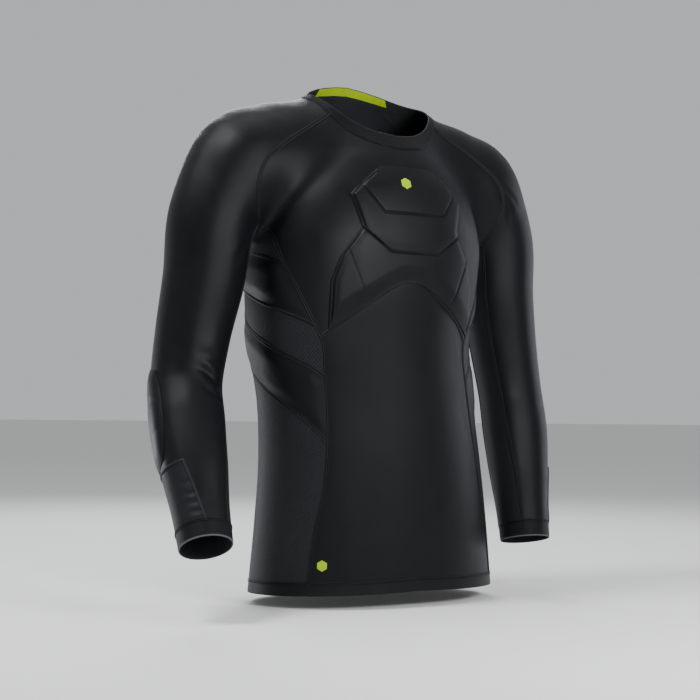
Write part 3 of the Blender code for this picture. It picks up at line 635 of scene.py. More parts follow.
def wall(name, sheet, low, high, material, keep=None, inset=SEAM_GAP / 2, crisp=38.0, gap=None):
    """A thin shell: a sheet of points with an inner and an outer face, closed at its rim."""
    rows, cols = sheet.shape[:2]
    keep = whole(sheet) if keep is None else keep
    raw = np.arange(rows * cols).reshape(rows, cols)
    i, j = np.nonzero(keep)
    quads = np.stack([raw[i, j], raw[i, j + 1], raw[i + 1, j + 1], raw[i + 1, j]], 1)
    points = sheet.reshape(-1, 3)
    first, back = np.unique(np.round(points, 6), axis=0, return_index=True, return_inverse=True)[1:]
    back = back.ravel()
    out = normals(points)
    cross = np.cross(points[quads[:, 1]] - points[quads[:, 0]], points[quads[:, 2]] - points[quads[:, 0]])
    if (cross * out[quads[:, 0]]).sum() < 0:
        quads = quads[:, ::-1]
    merged = back[quads]
    points, out = points[first].copy(), out[first]
    low = np.broadcast_to(low, (rows, cols)).ravel()[first]
    high = np.broadcast_to(high, (rows, cols)).ravel()[first]
    edges = np.concatenate([merged[:, [k, (k + 1) % 4]] for k in range(4)])
    raw_edges = np.concatenate([quads[:, [k, (k + 1) % 4]] for k in range(4)])
    code = edges[:, 0].astype(np.int64) * len(points) + edges[:, 1]
    twin = edges[:, 1].astype(np.int64) * len(points) + edges[:, 0]
    open_rim = ~np.isin(code, twin) & (edges[:, 0] != edges[:, 1])
    rim, raw_rim = edges[open_rim], raw_edges[open_rim]
    inward = {}
    for a, b in rim:
        side = unit(np.cross(out[a] + out[b], points[b] - points[a]))
        for v in (a, b):
            inward.setdefault(int(v), []).append(side)
    for v, sides in inward.items():
        turn = sides[0] @ sides[-1] if len(sides) > 1 else 0.0
        points[v] = points[v] + inset * sum(sides) / (1 + max(turn, -0.5) if len(sides) > 1 else 1)
    n = len(points)
    verts = np.concatenate([points + out * high[:, None], points + out * low[:, None]])
    faces = np.concatenate([merged, merged[:, ::-1] + n,
                            np.stack([rim[:, 1], rim[:, 0], rim[:, 0] + n, rim[:, 1] + n], 1)])
    raw_faces = np.concatenate([quads, quads[:, ::-1], raw_rim[:, [1, 0, 0, 1]]])
    used = np.unique(faces)
    renumber = np.zeros(2 * n, int)
    renumber[used] = np.arange(len(used))
    across, down = cloth_places(sheet)
    gap = rim_gap(sheet, keep) if gap is None else gap
    corners = np.stack([across.ravel(), down.ravel(), gap.ravel() + 1e-5], -1)[raw_faces.ravel()]
    corners = corners.reshape(len(faces), 4, 3)
    corners[len(quads):2 * len(quads), :, 2] *= -1
    return add_mesh(name, verts[used], renumber[faces], material, corners, crisp)


def declare(obj, node=None):
    """Hang a piece on the root body and hide the solid it stands for."""
    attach(obj, "root")
    if node is not None:
        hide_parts(node)


def as_cloth(obj, node, sheet, keep=None):
    """Hang a piece on the root body and hide its solid; the crop of its sheet to the kept cells is worked out
    but not used.
    """
    declare(obj, node)
    if keep is not None:
        rows, cols = np.nonzero(keep.any(1))[0], np.nonzero(keep.any(0))[0]
        sheet = sheet[rows[0]:rows[-1] + 2, cols[0]:cols[-1] + 2]
        keep = keep[rows[0]:rows[-1] + 1, cols[0]:cols[-1] + 1]


def as_pad(obj, node):
    """Hang a piece on the root body and hide its solid."""
    declare(obj, node)


# Materials.
SHEEN_TINT, SHEEN_ROUGHNESS, SPECULAR = (0.62, 0.72, 0.92), 0.35, 0.12
INNER_COLOR = (0.017, 0.018, 0.020)


class Nodes:
    """Short names for building a material's nodes."""

    def __init__(self, name, color, roughness, sheen):
        self.material = bpy.data.materials.new(name)
        self.material.use_nodes = True
        self.tree = self.material.node_tree
        self.shader = self.tree.nodes["Principled BSDF"]
        self.shader.inputs["Base Color"].default_value = (*color, 1.0)
        self.shader.inputs["Roughness"].default_value = roughness
        self.shader.inputs["Sheen Weight"].default_value = sheen
        self.shader.inputs["Sheen Tint"].default_value = (*SHEEN_TINT, 1.0)
        self.shader.inputs["Sheen Roughness"].default_value = SHEEN_ROUGHNESS
        self.shader.inputs["Specular IOR Level"].default_value = SPECULAR
        place = self.tree.nodes.new("ShaderNodeAttribute")
        place.attribute_name = "cloth"
        split = self.tree.nodes.new("ShaderNodeSeparateXYZ")
        self.link(place.outputs["Vector"], split.inputs[0])
        self.place, (self.u, self.v, signed) = place.outputs["Vector"], split.outputs
        self.rim = self.math("ABSOLUTE", signed)
        self.inside = self.math("LESS_THAN", signed, 0.0)

    def link(self, source, target):
        self.tree.links.new(source, target)

    def math(self, operation, a, b=0.0, c=None):
        node = self.tree.nodes.new("ShaderNodeMath")
        node.operation = operation
        for socket, value in zip(node.inputs, (a, b, c)):
            if value is None:
                continue
            if isinstance(value, (int, float)):
                socket.default_value = value
            else:
                self.link(value, socket)
        return node.outputs[0]

    def noise(self, scale, detail=2.0):
        node = self.tree.nodes.new("ShaderNodeTexNoise")
        node.inputs["Scale"].default_value = scale
        node.inputs["Detail"].default_value = detail
        self.link(self.place, node.inputs["Vector"])
        return node.outputs["Fac"]

    def wave(self, along, pitch, phase=0.0):
        """1 on the crest and 0 in the valley of a ripple."""
        angle = self.math("MULTIPLY_ADD", along, 2 * np.pi / pitch, phase)
        return self.math("MULTIPLY_ADD", self.math("SINE", angle), 0.5, 0.5)

    def ramp(self, value, low, high):
        node = self.tree.nodes.new("ShaderNodeMapRange")
        node.interpolation_type = "SMOOTHSTEP"
        self.link(value, node.inputs["Value"])
        node.inputs["From Min"].default_value = low
        node.inputs["From Max"].default_value = high
        return node.outputs["Result"]

    def mix(self, share, dark, light):
        node = self.tree.nodes.new("ShaderNodeMix")
        node.data_type = "RGBA"
        self.link(share, node.inputs["Factor"])
        for socket, value in ((node.inputs[6], dark), (node.inputs[7], light)):
            if isinstance(value, tuple):
                socket.default_value = (*value, 1.0)
            else:
                self.link(value, socket)
        return node.outputs[2]

    def finish(self, height, depth, color, roughness=None, inner=INNER_COLOR):
        bump = self.tree.nodes.new("ShaderNodeBump")
        bump.inputs["Strength"].default_value = 1.0
        bump.inputs["Distance"].default_value = depth
        self.link(height, bump.inputs["Height"])
        self.link(bump.outputs["Normal"], self.shader.inputs["Normal"])
        if inner is not None:
            color = self.mix(self.inside, color, inner)
        self.link(color, self.shader.inputs["Base Color"])
        if roughness is not None:
            self.link(roughness, self.shader.inputs["Roughness"])
        return self.material


def knit(name, dark, light, roughness, sheen, rib=0.0009, course=0.0012, depth=0.00006):
    """Fine stockinette: ribs down the cloth, with small rows across them, and a painted highlight near the
    rim.
    """
    m = Nodes(name, dark, roughness, sheen)
    row = m.wave(m.v, course)
    column = m.wave(m.math("MULTIPLY_ADD", row, rib * 0.25, m.u), rib)
    height = m.math("MULTIPLY_ADD", row, 0.35, column)
    cloudy = m.noise(38.0, 3.0)
    fibre = m.noise(900.0, 1.0)
    height = m.math("MULTIPLY_ADD", fibre, 0.5, height)
    # Painted highlight: the cloth is painted lighter within 7 mm of each piece's rim, along its seams and on
    # the hem's folded edge, standing in for light catching those edges.
    painted_rim_highlight = m.ramp(m.rim, 0.007, 0.0)
    share = m.math("MULTIPLY_ADD", column, 0.28, m.math("MULTIPLY", cloudy, 0.62))
    share = m.math("MULTIPLY_ADD", painted_rim_highlight, 0.18, share)
    rough = m.math("MULTIPLY_ADD", cloudy, 0.14, roughness - 0.07)
    return m.finish(height, depth, m.mix(share, dark, light), rough)


def open_mesh(name, dark, light, roughness, sheen, pitch=0.0036, depth=0.00045):
    """Mesh knit: rows of small eyes, each row set half an eye from the last."""
    m = Nodes(name, dark, roughness, sheen)
    lean = m.math("MULTIPLY", m.v, 0.75)
    rising = m.wave(m.math("ADD", m.u, lean), pitch)
    falling = m.wave(m.math("SUBTRACT", m.u, lean), pitch, np.pi / 2)
    eye = m.math("MULTIPLY", rising, falling)
    wall_height = m.ramp(eye, 0.55, 0.15)
    cloudy = m.noise(30.0, 2.0)
    share = m.math("MULTIPLY_ADD", wall_height, 0.75, m.math("MULTIPLY", cloudy, 0.2))
    return m.finish(wall_height, depth, m.mix(share, dark, light))


RIB_PITCH, RIB_DEPTH = 0.0019, 0.00030


def ribbed(name, dark, light, roughness, sheen, painted_edge_highlight):
    """Rib knit for the collar, the cuffs and the hem, with a painted highlight along its folded edge."""
    m = Nodes(name, dark, roughness, sheen)
    rib = m.ramp(m.wave(m.u, RIB_PITCH), 0.1, 0.8)
    row = m.wave(m.v, 0.0011)
    height = m.math("MULTIPLY_ADD", row, 0.15, rib)
    cloudy = m.noise(45.0, 2.0)
    share = m.math("MULTIPLY_ADD", rib, 0.55, m.math("MULTIPLY", cloudy, 0.4))
    # Painted highlight: the folded edge is painted lighter, standing in for light catching the band's rim.
    edge = m.ramp(m.rim, 0.0026, 0.0008)
    return m.finish(height, RIB_DEPTH, m.mix(edge, m.mix(share, dark, light), painted_edge_highlight))


def woven(name, dark, light, roughness, sheen, pitch=0.0012, depth=0.00018):
    """Herringbone binding tape."""
    m = Nodes(name, dark, roughness, sheen)
    fold = m.math("PINGPONG", m.v, 0.0035)
    twill = m.wave(m.math("ADD", m.u, fold), pitch)
    share = m.math("MULTIPLY_ADD", twill, 0.6, m.math("MULTIPLY", m.noise(60.0), 0.4))
    return m.finish(twill, depth, m.mix(share, dark, light), inner=None)


MAIN = knit("main_knit", (0.0026, 0.0028, 0.0032), (0.0058, 0.0062, 0.0072), 0.40, 0.025)
PAD_KNIT = knit("pad_knit", (0.0030, 0.0032, 0.0036), (0.0064, 0.0068, 0.0078), 0.40, 0.025,
                rib=0.0008, course=0.0010, depth=0.00005)
OPEN = open_mesh("side_mesh", (0.0005, 0.0005, 0.0006), (0.0175, 0.0182, 0.0205), 0.50, 0.035,
                 depth=0.00060)
ARM_MESH = open_mesh("sleeve_mesh", (0.0008, 0.0009, 0.0010), (0.0125, 0.0130, 0.0150), 0.50, 0.035,
                     pitch=0.0030, depth=0.00030)
# The last colour of each rib band is a painted highlight on its folded edge.
RIB = ribbed("rib_band", (0.0014, 0.0015, 0.0018), (0.0048, 0.0051, 0.0058), 0.55, 0.015,
             painted_edge_highlight=(0.0120, 0.0125, 0.0140))
CUFF_RIB = ribbed("cuff_band", (0.0018, 0.0019, 0.0022), (0.0058, 0.0061, 0.0070), 0.50, 0.025,
                  painted_edge_highlight=(0.085, 0.088, 0.094))
HEM = knit("hem_knit", (0.0030, 0.0032, 0.0037), (0.0068, 0.0072, 0.0083), 0.48, 0.035, rib=0.0012)
TAPE_CLOTH = woven("lime_woven", (0.20, 0.31, 0.001), (0.38, 0.52, 0.003), 0.60, 0.0)
PRINT = woven("lime_print", (0.25, 0.38, 0.001), (0.30, 0.44, 0.002), 0.55, 0.0,
              pitch=0.0008, depth=0.00003)
THREAD = knit("seam_thread", (0.0030, 0.0032, 0.0037), (0.0085, 0.0090, 0.0102), 0.40, 0.03,
              rib=0.0006, course=0.0006, depth=0.00008)
PIPING = knit("piping", (0.0100, 0.0105, 0.0118), (0.0240, 0.0250, 0.0275), 0.38, 0.03,
              rib=0.0006, course=0.0006, depth=0.00006)

# Folds, as pixels of the photograph, half width and depth.
FOLDS = [
    (((197, 366), (207, 372), (216, 384)), 0.0055, 0.0022),
    (((204, 388), (214, 394), (222, 404)), 0.0050, 0.0016),
    (((196, 352), (210, 356), (224, 366)), 0.0070, 0.0010),
    (((498, 196), (507, 203), (514, 214)), 0.0045, 0.0018),
    (((504, 190), (513, 198), (518, 206)), 0.0040, 0.0013),
    (((503, 206), (508, 214), (510, 224)), 0.0040, 0.0012),
    (((236, 262), (243, 250), (247, 240)), 0.0060, 0.0012),
    (((178, 483), (186, 482), (194, 479)), 0.0030, 0.0006),
    (((183, 494), (191, 493), (199, 490)), 0.0028, 0.0009),
    (((185, 503), (194, 502), (203, 498)), 0.0028, 0.0008),
    (((187, 512), (197, 511), (206, 507)), 0.0028, 0.0009),
    (((190, 521), (200, 520), (209, 516)), 0.0026, 0.0007),
]


def folded(points):
    """How far the folds push the cloth in, and the rolls beside them push it out."""
    shift = np.zeros(points.shape[:-1])
    for pixels, width, depth in FOLDS:
        path = dense(smooth(np.arange(len(pixels)), pictured(pixels), np.linspace(0, len(pixels) - 1, 12)))
        gap, index = nearest(points, path)
        taper = np.sin(np.pi * np.clip((index + 0.5) / len(path), 0.02, 0.98)) ** 0.8
        groove = np.exp(-(gap / width) ** 2)
        roll = 0.45 * np.exp(-((gap - 1.9 * width) / width) ** 2)
        shift += depth * taper * (roll - groove)
    return shift


def rise(gap, width):
    """From 0 at the rim to 1 at the width, round-shouldered."""
    t = np.clip(gap / width, 0, 1)
    return np.sqrt(1 - (1 - t) ** 2)


def pressed(sheet, path, half, depth):
    """A line pressed into a pad."""
    return -depth * np.exp(-(nearest(sheet, path)[0] / half) ** 2)


SIM_STEP, SIM_FRAMES = 5, 20
# Lines pressed into the wearer's right rib pad, as pixels of the photograph, and mirrored on the left.
PAD_LINES = (((275, 336), (276, 362), (275, 392)), ((301, 350), (302, 380), (301, 410)))


def crowned(sheet, cap):
    """How far a pad's skin, held at its rim, is pushed out by the foam: a cloth simulation of the skin."""
    rows = np.unique(np.append(np.arange(0, sheet.shape[0], SIM_STEP), sheet.shape[0] - 1))
    cols = np.unique(np.append(np.arange(0, sheet.shape[1], SIM_STEP), sheet.shape[1] - 1))
    skin = sheet[np.ix_(rows, cols)]
    out = normals(skin)
    index = np.arange(skin.shape[0] * skin.shape[1]).reshape(skin.shape[:2])
    quads = np.stack([index[:-1, :-1], index[:-1, 1:], index[1:, 1:], index[1:, :-1]], -1).reshape(-1, 4)
    corner = skin.reshape(-1, 3)
    facing = np.cross(corner[quads[:, 1]] - corner[quads[:, 0]], corner[quads[:, 2]] - corner[quads[:, 0]])
    if (facing * out.reshape(-1, 3)[quads[:, 0]]).sum() < 0:
        quads = quads[:, ::-1]
    mesh = bpy.data.meshes.new("skin")
    mesh.from_pydata(corner.tolist(), [], quads.tolist())
    obj = bpy.data.objects.new("skin", mesh)
    bpy.context.scene.collection.objects.link(obj)
    held = obj.vertex_groups.new(name="held")
    rim = np.concatenate([index[0], index[-1], index[:, 0], index[:, -1]])
    held.add(np.unique(rim).tolist(), 1.0, "REPLACE")
    cloth = obj.modifiers.new("cloth", "CLOTH")
    cloth.settings.quality = 6
    cloth.settings.use_pressure = True
    cloth.settings.uniform_pressure_force = 4.0
    cloth.settings.effector_weights.gravity = 0.0
    cloth.settings.vertex_group_mass = "held"
    cloth.collision_settings.use_collision = False
    for step in range(1, SIM_FRAMES + 1):
        bpy.context.scene.frame_set(step)
    moved = obj.evaluated_get(bpy.context.evaluated_depsgraph_get()).data
    after = np.empty(len(corner) * 3)
    moved.vertices.foreach_get("co", after)
    lift = ((after.reshape(skin.shape) - skin) * out).sum(-1)
    bpy.data.objects.remove(obj, do_unlink=True)
    bpy.data.meshes.remove(mesh)
    bpy.context.scene.frame_set(1)
    lift = cap * np.tanh(np.maximum(lift, 0) / cap)
    print("pad skin lifted", round(float(lift.max()) * 1000, 2), "mm")
    wide = np.stack([np.interp(np.arange(sheet.shape[1]), cols, row) for row in lift])
    return np.stack([np.interp(np.arange(sheet.shape[0]), rows, col) for col in wide.T], 1)


DIP, DIP_REACH = 0.00025, 0.004      # how far cloth sinks beside its seams
PAD_SLOPE = 0.020                    # how far from its rim a pad swells
RIB_PAD_SWELL, RIB_PAD_CAP = 0.75, 0.0010
LINE_HALF, LINE_DEPTH = 0.0014, 0.0007
pieces = {}
for name, sheet in sheets.items():
    keep = sleeve_kept.get(name)
    gap = rim_gap(sheet, whole(sheet) if keep is None else keep)
    if "rib_pad" in name:
        swell = np.clip(gap / PAD_SLOPE, 0, 1)
        puff = (RIB_PAD - CLOTH) * RIB_PAD_SWELL * swell * swell * (3 - 2 * swell)
        puff = puff + crowned(sheet, RIB_PAD_CAP)
        for pixels in PAD_LINES:
            path = pictured(pixels) * (-1 if name.endswith("left") else 1, 1, 1)
            puff = puff + pressed(sheet, settle(dense(path)), LINE_HALF, LINE_DEPTH) * swell
        pieces[name] = wall(name + "_cloth", sheet, -CLOTH, puff, PAD_KNIT, gap=gap)
        as_pad(pieces[name], name)
        continue
    meshed = "mesh" in name or "panel" in name or "under_sleeve" in name
    thick = MESH_CLOTH if meshed else CLOTH
    material = OPEN if "side_mesh" in name or "underarm" in name else ARM_MESH if meshed else MAIN
    shift = folded(sheet) - DIP * np.exp(-(gap / DIP_REACH) ** 2)
    pieces[name] = wall(name + "_cloth", sheet, shift - thick, shift, material, keep=keep, gap=gap)
    as_cloth(pieces[name], name, sheet, keep)


# Bands: collar, cuffs and hem, doubled over at their edge.
def rounded(gap, thick):
    """Outer and inner height of a doubled edge at a distance from its fold."""
    half = thick / 2 * np.clip(rise(gap, thick * 0.6), 0.12, 1)
    return -thick / 2 + half, -thick / 2 - half


EDGE_STOPS = np.array([0.0, 0.0003, 0.0008, 0.0016, 0.0030])   # distances of the last rows from the edge
EDGE_STRIP, BAND_ROWS = 0.0045, 9


def band_rows(foot, edge, middle=None):
    """Rows from a band's seam to its edge, close together by the edge."""
    wide = np.linalg.norm(edge - foot, axis=1).mean()
    shares = np.concatenate([np.linspace(0, 1 - EDGE_STRIP / wide, BAND_ROWS), 1 - EDGE_STOPS[::-1] / wide])
    if middle is None:
        sheet = settle(foot + shares[:, None, None] * (edge - foot))
    else:
        sheet = smooth(np.array([0, 0.5, 1.0]), np.stack([foot, middle, edge]).reshape(3, -1), shares)
        sheet = sheet.reshape(len(shares), *foot.shape)
    gap = np.broadcast_to(((1 - shares) * wide)[:, None], sheet.shape[:2])
    return sheet, gap


def band(name, sheet, gap, thick, material):
    """A doubled band in place of its solid."""
    high, low = rounded(gap, thick)
    pieces[name] = wall(name + "_cloth", sheet, low, high, material, crisp=70, gap=gap)
    as_cloth(pieces[name], name, sheet)


collar_foot = around(neck_front[SEAM_COLUMN], neck_rear[SEAM_COLUMN], neck_side[SEAM_COLUMN])
collar_edge = around(neck_front[EDGE_COLUMN], neck_rear[EDGE_COLUMN], neck_side[EDGE_COLUMN])
band("collar", *band_rows(collar_foot, collar_edge), COLLAR, RIB)

tape_start = (FRONT_COLS + SLEEVE_COLS - 2) * STEPS
tape_end = tape_start + (BACK_COLS + 3) * STEPS
TAPE_TOP, TAPE_FOOT, TAPE_ROWS, TAPE_GAP = 0.94, 0.36, 9, 0.0001
tape_sheet = np.stack([collar_foot + share * (collar_edge - collar_foot)
                       for share in np.linspace(TAPE_FOOT, TAPE_TOP, TAPE_ROWS)])
tape_sheet = settle(tape_sheet[:, tape_start:tape_end + 1])
inner = -COLLAR - TAPE_GAP
pieces["neck_tape"] = wall("neck_tape_cloth", tape_sheet, inner - TAPE, inner, TAPE_CLOTH)
as_cloth(pieces["neck_tape"], "neck_tape", tape_sheet)

hem_top = around(hem_front[HEM_BAND], hem_rear[HEM_BAND], hem_side[HEM_BAND])
hem_edge = around(hem_front[0.0], hem_rear[0.0], hem_side[0.0])
band("hem_band", *band_rows(hem_top, hem_edge), BAND, HEM)

for side in SIGN:
    arm = ARM_OF[side]
    cuff_s = arm.length - CUFF
    ring = seams[side]["wrist"]
    rings = [ring]
    for s in (cuff_s + CUFF / 2, arm.length):
        spoke = ring - arm.at(cuff_s)[:3]
        spoke = unit(spoke - (spoke @ arm.direction(s))[:, None] * arm.direction(s))
        rings.append(arm.at(s)[:3] + spoke * arm.at(s)[3])
    band("cuff_" + side, *band_rows(rings[0], rings[2], middle=rings[1]), BAND, CUFF_RIB)


# Flat seams with their stitches.
FLATLOCK = ((-1.0, -0.25), (-1.0, 0.20), (-0.76, 0.66), (-0.44, 0.66), (-0.16, -0.02), (0.16, -0.02),
            (0.44, 0.66), (0.76, 0.66), (1.0, 0.20), (1.0, -0.25))
STITCH_LONG, STITCH_WIDE, STITCH_TALL, STITCH_PITCH, STITCH_LEAN = 0.0019, 0.00055, 0.00035, 0.0026, 0.5
SEAM_POINTS, END_HEIGHT, THREAD_LIFT = 0.0022, 0.25, 0.60
FROM_RIM = 0.01          # what small pieces give for the distance from their rim
WELT = ((-1.0, -0.25), (-0.9, 0.25), (-0.5, 0.75), (0.0, 0.95), (0.5, 0.75), (0.9, 0.25), (1.0, -0.25))


def ribbon(points, width, height, profile, out):
    """A closed strip of a given section along a row of points."""
    along = unit(np.gradient(points, axis=0))
    across = unit(np.cross(out, along))
    shape = np.array(profile)
    ends = np.ones(len(points))
    ends[[0, -1]] = END_HEIGHT
    verts = (points[:, None] + across[:, None] * (shape[:, 0] * width / 2)[None, :, None]
             + out[:, None] * (shape[:, 1] * height)[None, :, None] * ends[:, None, None])
    n, k = len(points), len(shape)
    index = np.arange(n * k).reshape(n, k)
    following = np.roll(index, -1, axis=1)
    quads = np.stack([index[:-1], index[1:], following[1:], following[:-1]], -1).reshape(-1, 4)
    faces = [tuple(q) for q in quads] + [tuple(index[0]), tuple(index[-1][::-1])]
    s = chord_lengths(points)
    places = np.stack([np.broadcast_to(shape[:, 0] * width / 2, (n, k)), np.broadcast_to(s[:, None], (n, k)),
                       np.full((n, k), FROM_RIM)], -1)
    return verts.reshape(-1, 3), faces, places.reshape(-1, 3)


def stitches(points, out, offset, lift, lean):
    """A row of stitches, each a small spindle of thread."""
    s = chord_lengths(points)
    at = np.arange(STITCH_PITCH / 2, s[-1], STITCH_PITCH)

    def read(values):
        return np.stack([np.interp(at, s, values[:, k]) for k in range(3)], -1)

    along = unit(np.gradient(points, axis=0))
    middle, up, along = read(points), unit(read(out)), unit(read(along))
    across = unit(np.cross(up, along))
    middle = middle + across * offset + up * lift
    way = np.cos(lean) * along + np.sin(lean) * across
    aside = unit(np.cross(up, way))
    half, beside, tall = way * STITCH_LONG / 2, aside * STITCH_WIDE / 2, up * STITCH_TALL
    verts = np.stack([middle - half - tall * 0.5, middle + half - tall * 0.5, middle + beside,
                      middle - beside, middle + tall, middle - tall], 1)
    corner = np.array([(0, 2, 4), (2, 1, 4), (1, 3, 4), (3, 0, 4),
                       (2, 0, 5), (1, 2, 5), (3, 1, 5), (0, 3, 5)])
    faces = corner[None] + np.arange(len(at))[:, None, None] * 6
    places = np.stack([np.full((len(at), 6), offset), np.broadcast_to(at[:, None], (len(at), 6)),
                       np.full((len(at), 6), FROM_RIM)], -1)
    return verts.reshape(-1, 3), [tuple(f) for f in faces.reshape(-1, 3)], places.reshape(-1, 3)


def joined(name, parts, material):
    """Several runs of points and faces as one piece of knit cloth."""
    verts, faces, places, start = [], [], [], 0
    for part_verts, part_faces, part_places in parts:
        faces += [tuple(int(v) + start for v in f) for f in part_faces]
        verts.append(part_verts)
        places.append(part_places)
        start += len(part_verts)
    verts, places = np.concatenate(verts), np.concatenate(places)
    corners = places[np.concatenate([np.array(f) for f in faces])]
    declare(add_mesh(name, verts, faces, material, corners, 50.0))


def seam(name, points, width, height=0.0012, profile=FLATLOCK, rows=(-0.56, 0.56), material=THREAD):
    """A flat seam along a row of points, with its rows of stitches."""
    points = dense(points, SEAM_POINTS)
    out = normals(points)
    parts = [ribbon(points, width, height, profile, out)]
    for row in rows:
        lean = STITCH_LEAN * (1 if row > 0 else -1)
        parts.append(stitches(points, out, row * width / 2, height * THREAD_LIFT, lean))
    joined(name, parts, material)


# Seams of each side: name, the seam's row of points and width. Then, where they aren't the usual ones,
# height, section, rows of stitches and material.
SIDE_SEAMS = (("raglan_front_seam_", "raglan", 0.0058), ("raglan_back_seam_", "back_raglan", 0.0058),
              ("side_front_seam_", "side_front", 0.0050), ("side_back_seam_", "side_back", 0.0050),
              ("armpit_seam_", "armpit", 0.0044), ("under_front_seam_", "under_front", 0.0044),
              ("under_back_seam_", "under_back", 0.0044), ("side_seam_1_", "underarm_mesh_foot", 0.0040),
              ("side_seam_2_", "rib_pad_upper_foot", 0.0044, 0.0016, WELT, ()),
              ("side_seam_3_", "side_mesh_band_foot", 0.0060, 0.0011),
              ("side_seam_4_", "rib_pad_lower_foot", 0.0060, 0.0011),
              ("forearm_seam_", "forearm", 0.0034, 0.0016, WELT, (), PIPING),
              ("wrist_seam_", "wrist", 0.0040))
for side in SIGN:
    for name, key, *rest in SIDE_SEAMS:
        seam(name + side, seams[side][key], *rest)
seam("arch_seam", arch, 0.0050)
seam("neck_seam", collar_foot, 0.0040)
seam("hem_seam", hem_top, 0.0044)
seam("neck_tape_stitches", tape_sheet[1], 0.0006, 0.0001, rows=())


# Chest plates and elbow pads: foam under a bonded skin.
PLATE_STEPS = 0.0016     # steps across a plate, away from its rim
CROWDING = 0.11


def crowded(steps):
    """Shares of a plate's width, closer together toward its two rims."""
    t = np.linspace(0, 1, steps + 1)
    return t - CROWDING * np.sin(2 * np.pi * t)


def plate_sheet(outline):
    """A chest plate's points, with the corners of its outline rounded off."""
    sides = {part: (seen(outline[part], "right"), seen(outline[part], "left")) for part in outline}
    top = np.concatenate([sides["top"][0][::-1], sides["top"][1]])
    foot = np.concatenate([sides["foot"][0], sides["foot"][1][::-1]])
    right = np.concatenate([sides["top"][0][-1:], sides["side"][0], sides["foot"][0][:1]])
    left = np.concatenate([sides["top"][1][-1:], sides["side"][1], sides["foot"][1][:1]])

    def outlined(points, steps):
        s = chord_lengths(points)
        at = crowded(steps) * s[-1]
        row = np.stack([np.interp(at, s, points[:, k]) for k in range(3)], -1)
        for _ in range(2):
            row[1:-1] = (row[:-2] + 2 * row[1:-1] + row[2:]) / 4
        return settle(row)

    across = int(max(chord_lengths(top)[-1], chord_lengths(foot)[-1]) / PLATE_STEPS)
    down = int(max(chord_lengths(left)[-1], chord_lengths(right)[-1]) / PLATE_STEPS)
    sheet = coons(outlined(top, across), outlined(foot, across), outlined(right, down), outlined(left, down))
    return settle(sheet)


def across_front(pairs):
    """A line over the front, from its right half's points as x outward and z."""
    return settle(dense(np.concatenate([seen(pairs, "right"), seen(pairs[::-1], "left")])))


PLATE_JOINTS = np.concatenate([across_front(((0.0767, -0.1291), (0.0480, -0.1676))),
                               across_front(((0.0793, -0.1900), (0.0390, -0.2201)))])
PLATE_FADES = np.concatenate([across_front(PLATE_TOP["top"]), across_front(PLATE_LOWER["foot"])])
FADE = {"chest_plate_top": 0.030, "chest_plate_middle": 0.030, "chest_plate_lower": 0.022}
WING_CREASE = ((0.0990, -0.2165), (0.0715, -0.2840))
FLANGE, WELT_HEIGHT, WELT_AT, WELT_HALF = 0.0007, 0.0010, 0.0016, 0.0010
BODY_START, BODY_SLOPE, BEAD, BEAD_AT, BEAD_HALF = 0.0032, 0.012, 0.0006, 0.0058, 0.0013
JOINT_DEPTH, JOINT_HALF, JOINT_REACH = 0.0019, 0.0015, 0.008
CREASE_HALF, CREASE_DEPTH = 0.0013, 0.0011
RIM_REACH = 0.0018
FADED, LEAST, PLATE_CAP = 0.0005, 0.0004, 0.0008     # height of a faded rim, least height, most lift
chest_plates = {"chest_plate_top": PLATE_TOP, "chest_plate_middle": PLATE_MIDDLE,
                "chest_plate_lower": PLATE_LOWER}
for name, outline in chest_plates.items():
    sheet = plate_sheet(outline)
    rim = np.concatenate([sheet[0], sheet[-1], sheet[:, 0], sheet[:, -1]])
    at_joint = nearest(rim, PLATE_JOINTS)[0] < RIM_REACH
    at_fade = (nearest(rim, PLATE_FADES)[0] < RIM_REACH) & ~at_joint
    firm_gap = nearest(sheet, rim[~at_joint & ~at_fade])[0]
    joint_gap = nearest(sheet, rim[at_joint])[0]
    away = np.clip(joint_gap / JOINT_REACH, 0, 1)
    shape = (FLANGE + WELT_HEIGHT * away * np.exp(-((firm_gap - WELT_AT) / WELT_HALF) ** 2)
             + (PLATE - FLANGE) * rise(firm_gap - BODY_START, BODY_SLOPE)
             + BEAD * away * np.exp(-((firm_gap - BEAD_AT) / BEAD_HALF) ** 2))
    gap = np.minimum(firm_gap, joint_gap)
    if at_fade.any():
        fade_gap = nearest(sheet, rim[at_fade])[0]
        t = np.clip(fade_gap / FADE[name], 0, 1)
        shape = np.minimum(shape, FADED + (PLATE - FADED) * t * (2 - t) * (0.45 + 0.55 * t))
        gap = np.minimum(gap, fade_gap)
    shape = shape - JOINT_DEPTH * np.exp(-(joint_gap / JOINT_HALF) ** 2) * np.clip(shape / PLATE, 0, 1)
    if name == "chest_plate_lower":
        for side in SIGN:
            shape = shape + pressed(sheet, settle(dense(seen(WING_CREASE, side))), CREASE_HALF,
                                    CREASE_DEPTH)
    high = PLATE_LIFT + np.maximum(shape, LEAST) + crowned(sheet, PLATE_CAP)
    pieces[name] = wall(name + "_cloth", sheet, PLATE_LIFT * 0.4, high, PAD_KNIT, inset=0, gap=gap)
    as_pad(pieces[name], name)

ROUNDING = 0.42          # how far the elbow pad's corners are drawn in
ELBOW_STEPS = 72, 60
ELBOW_RIM, ELBOW_LEAST, ELBOW_CAP = 0.0006, 0.0005, 0.0006
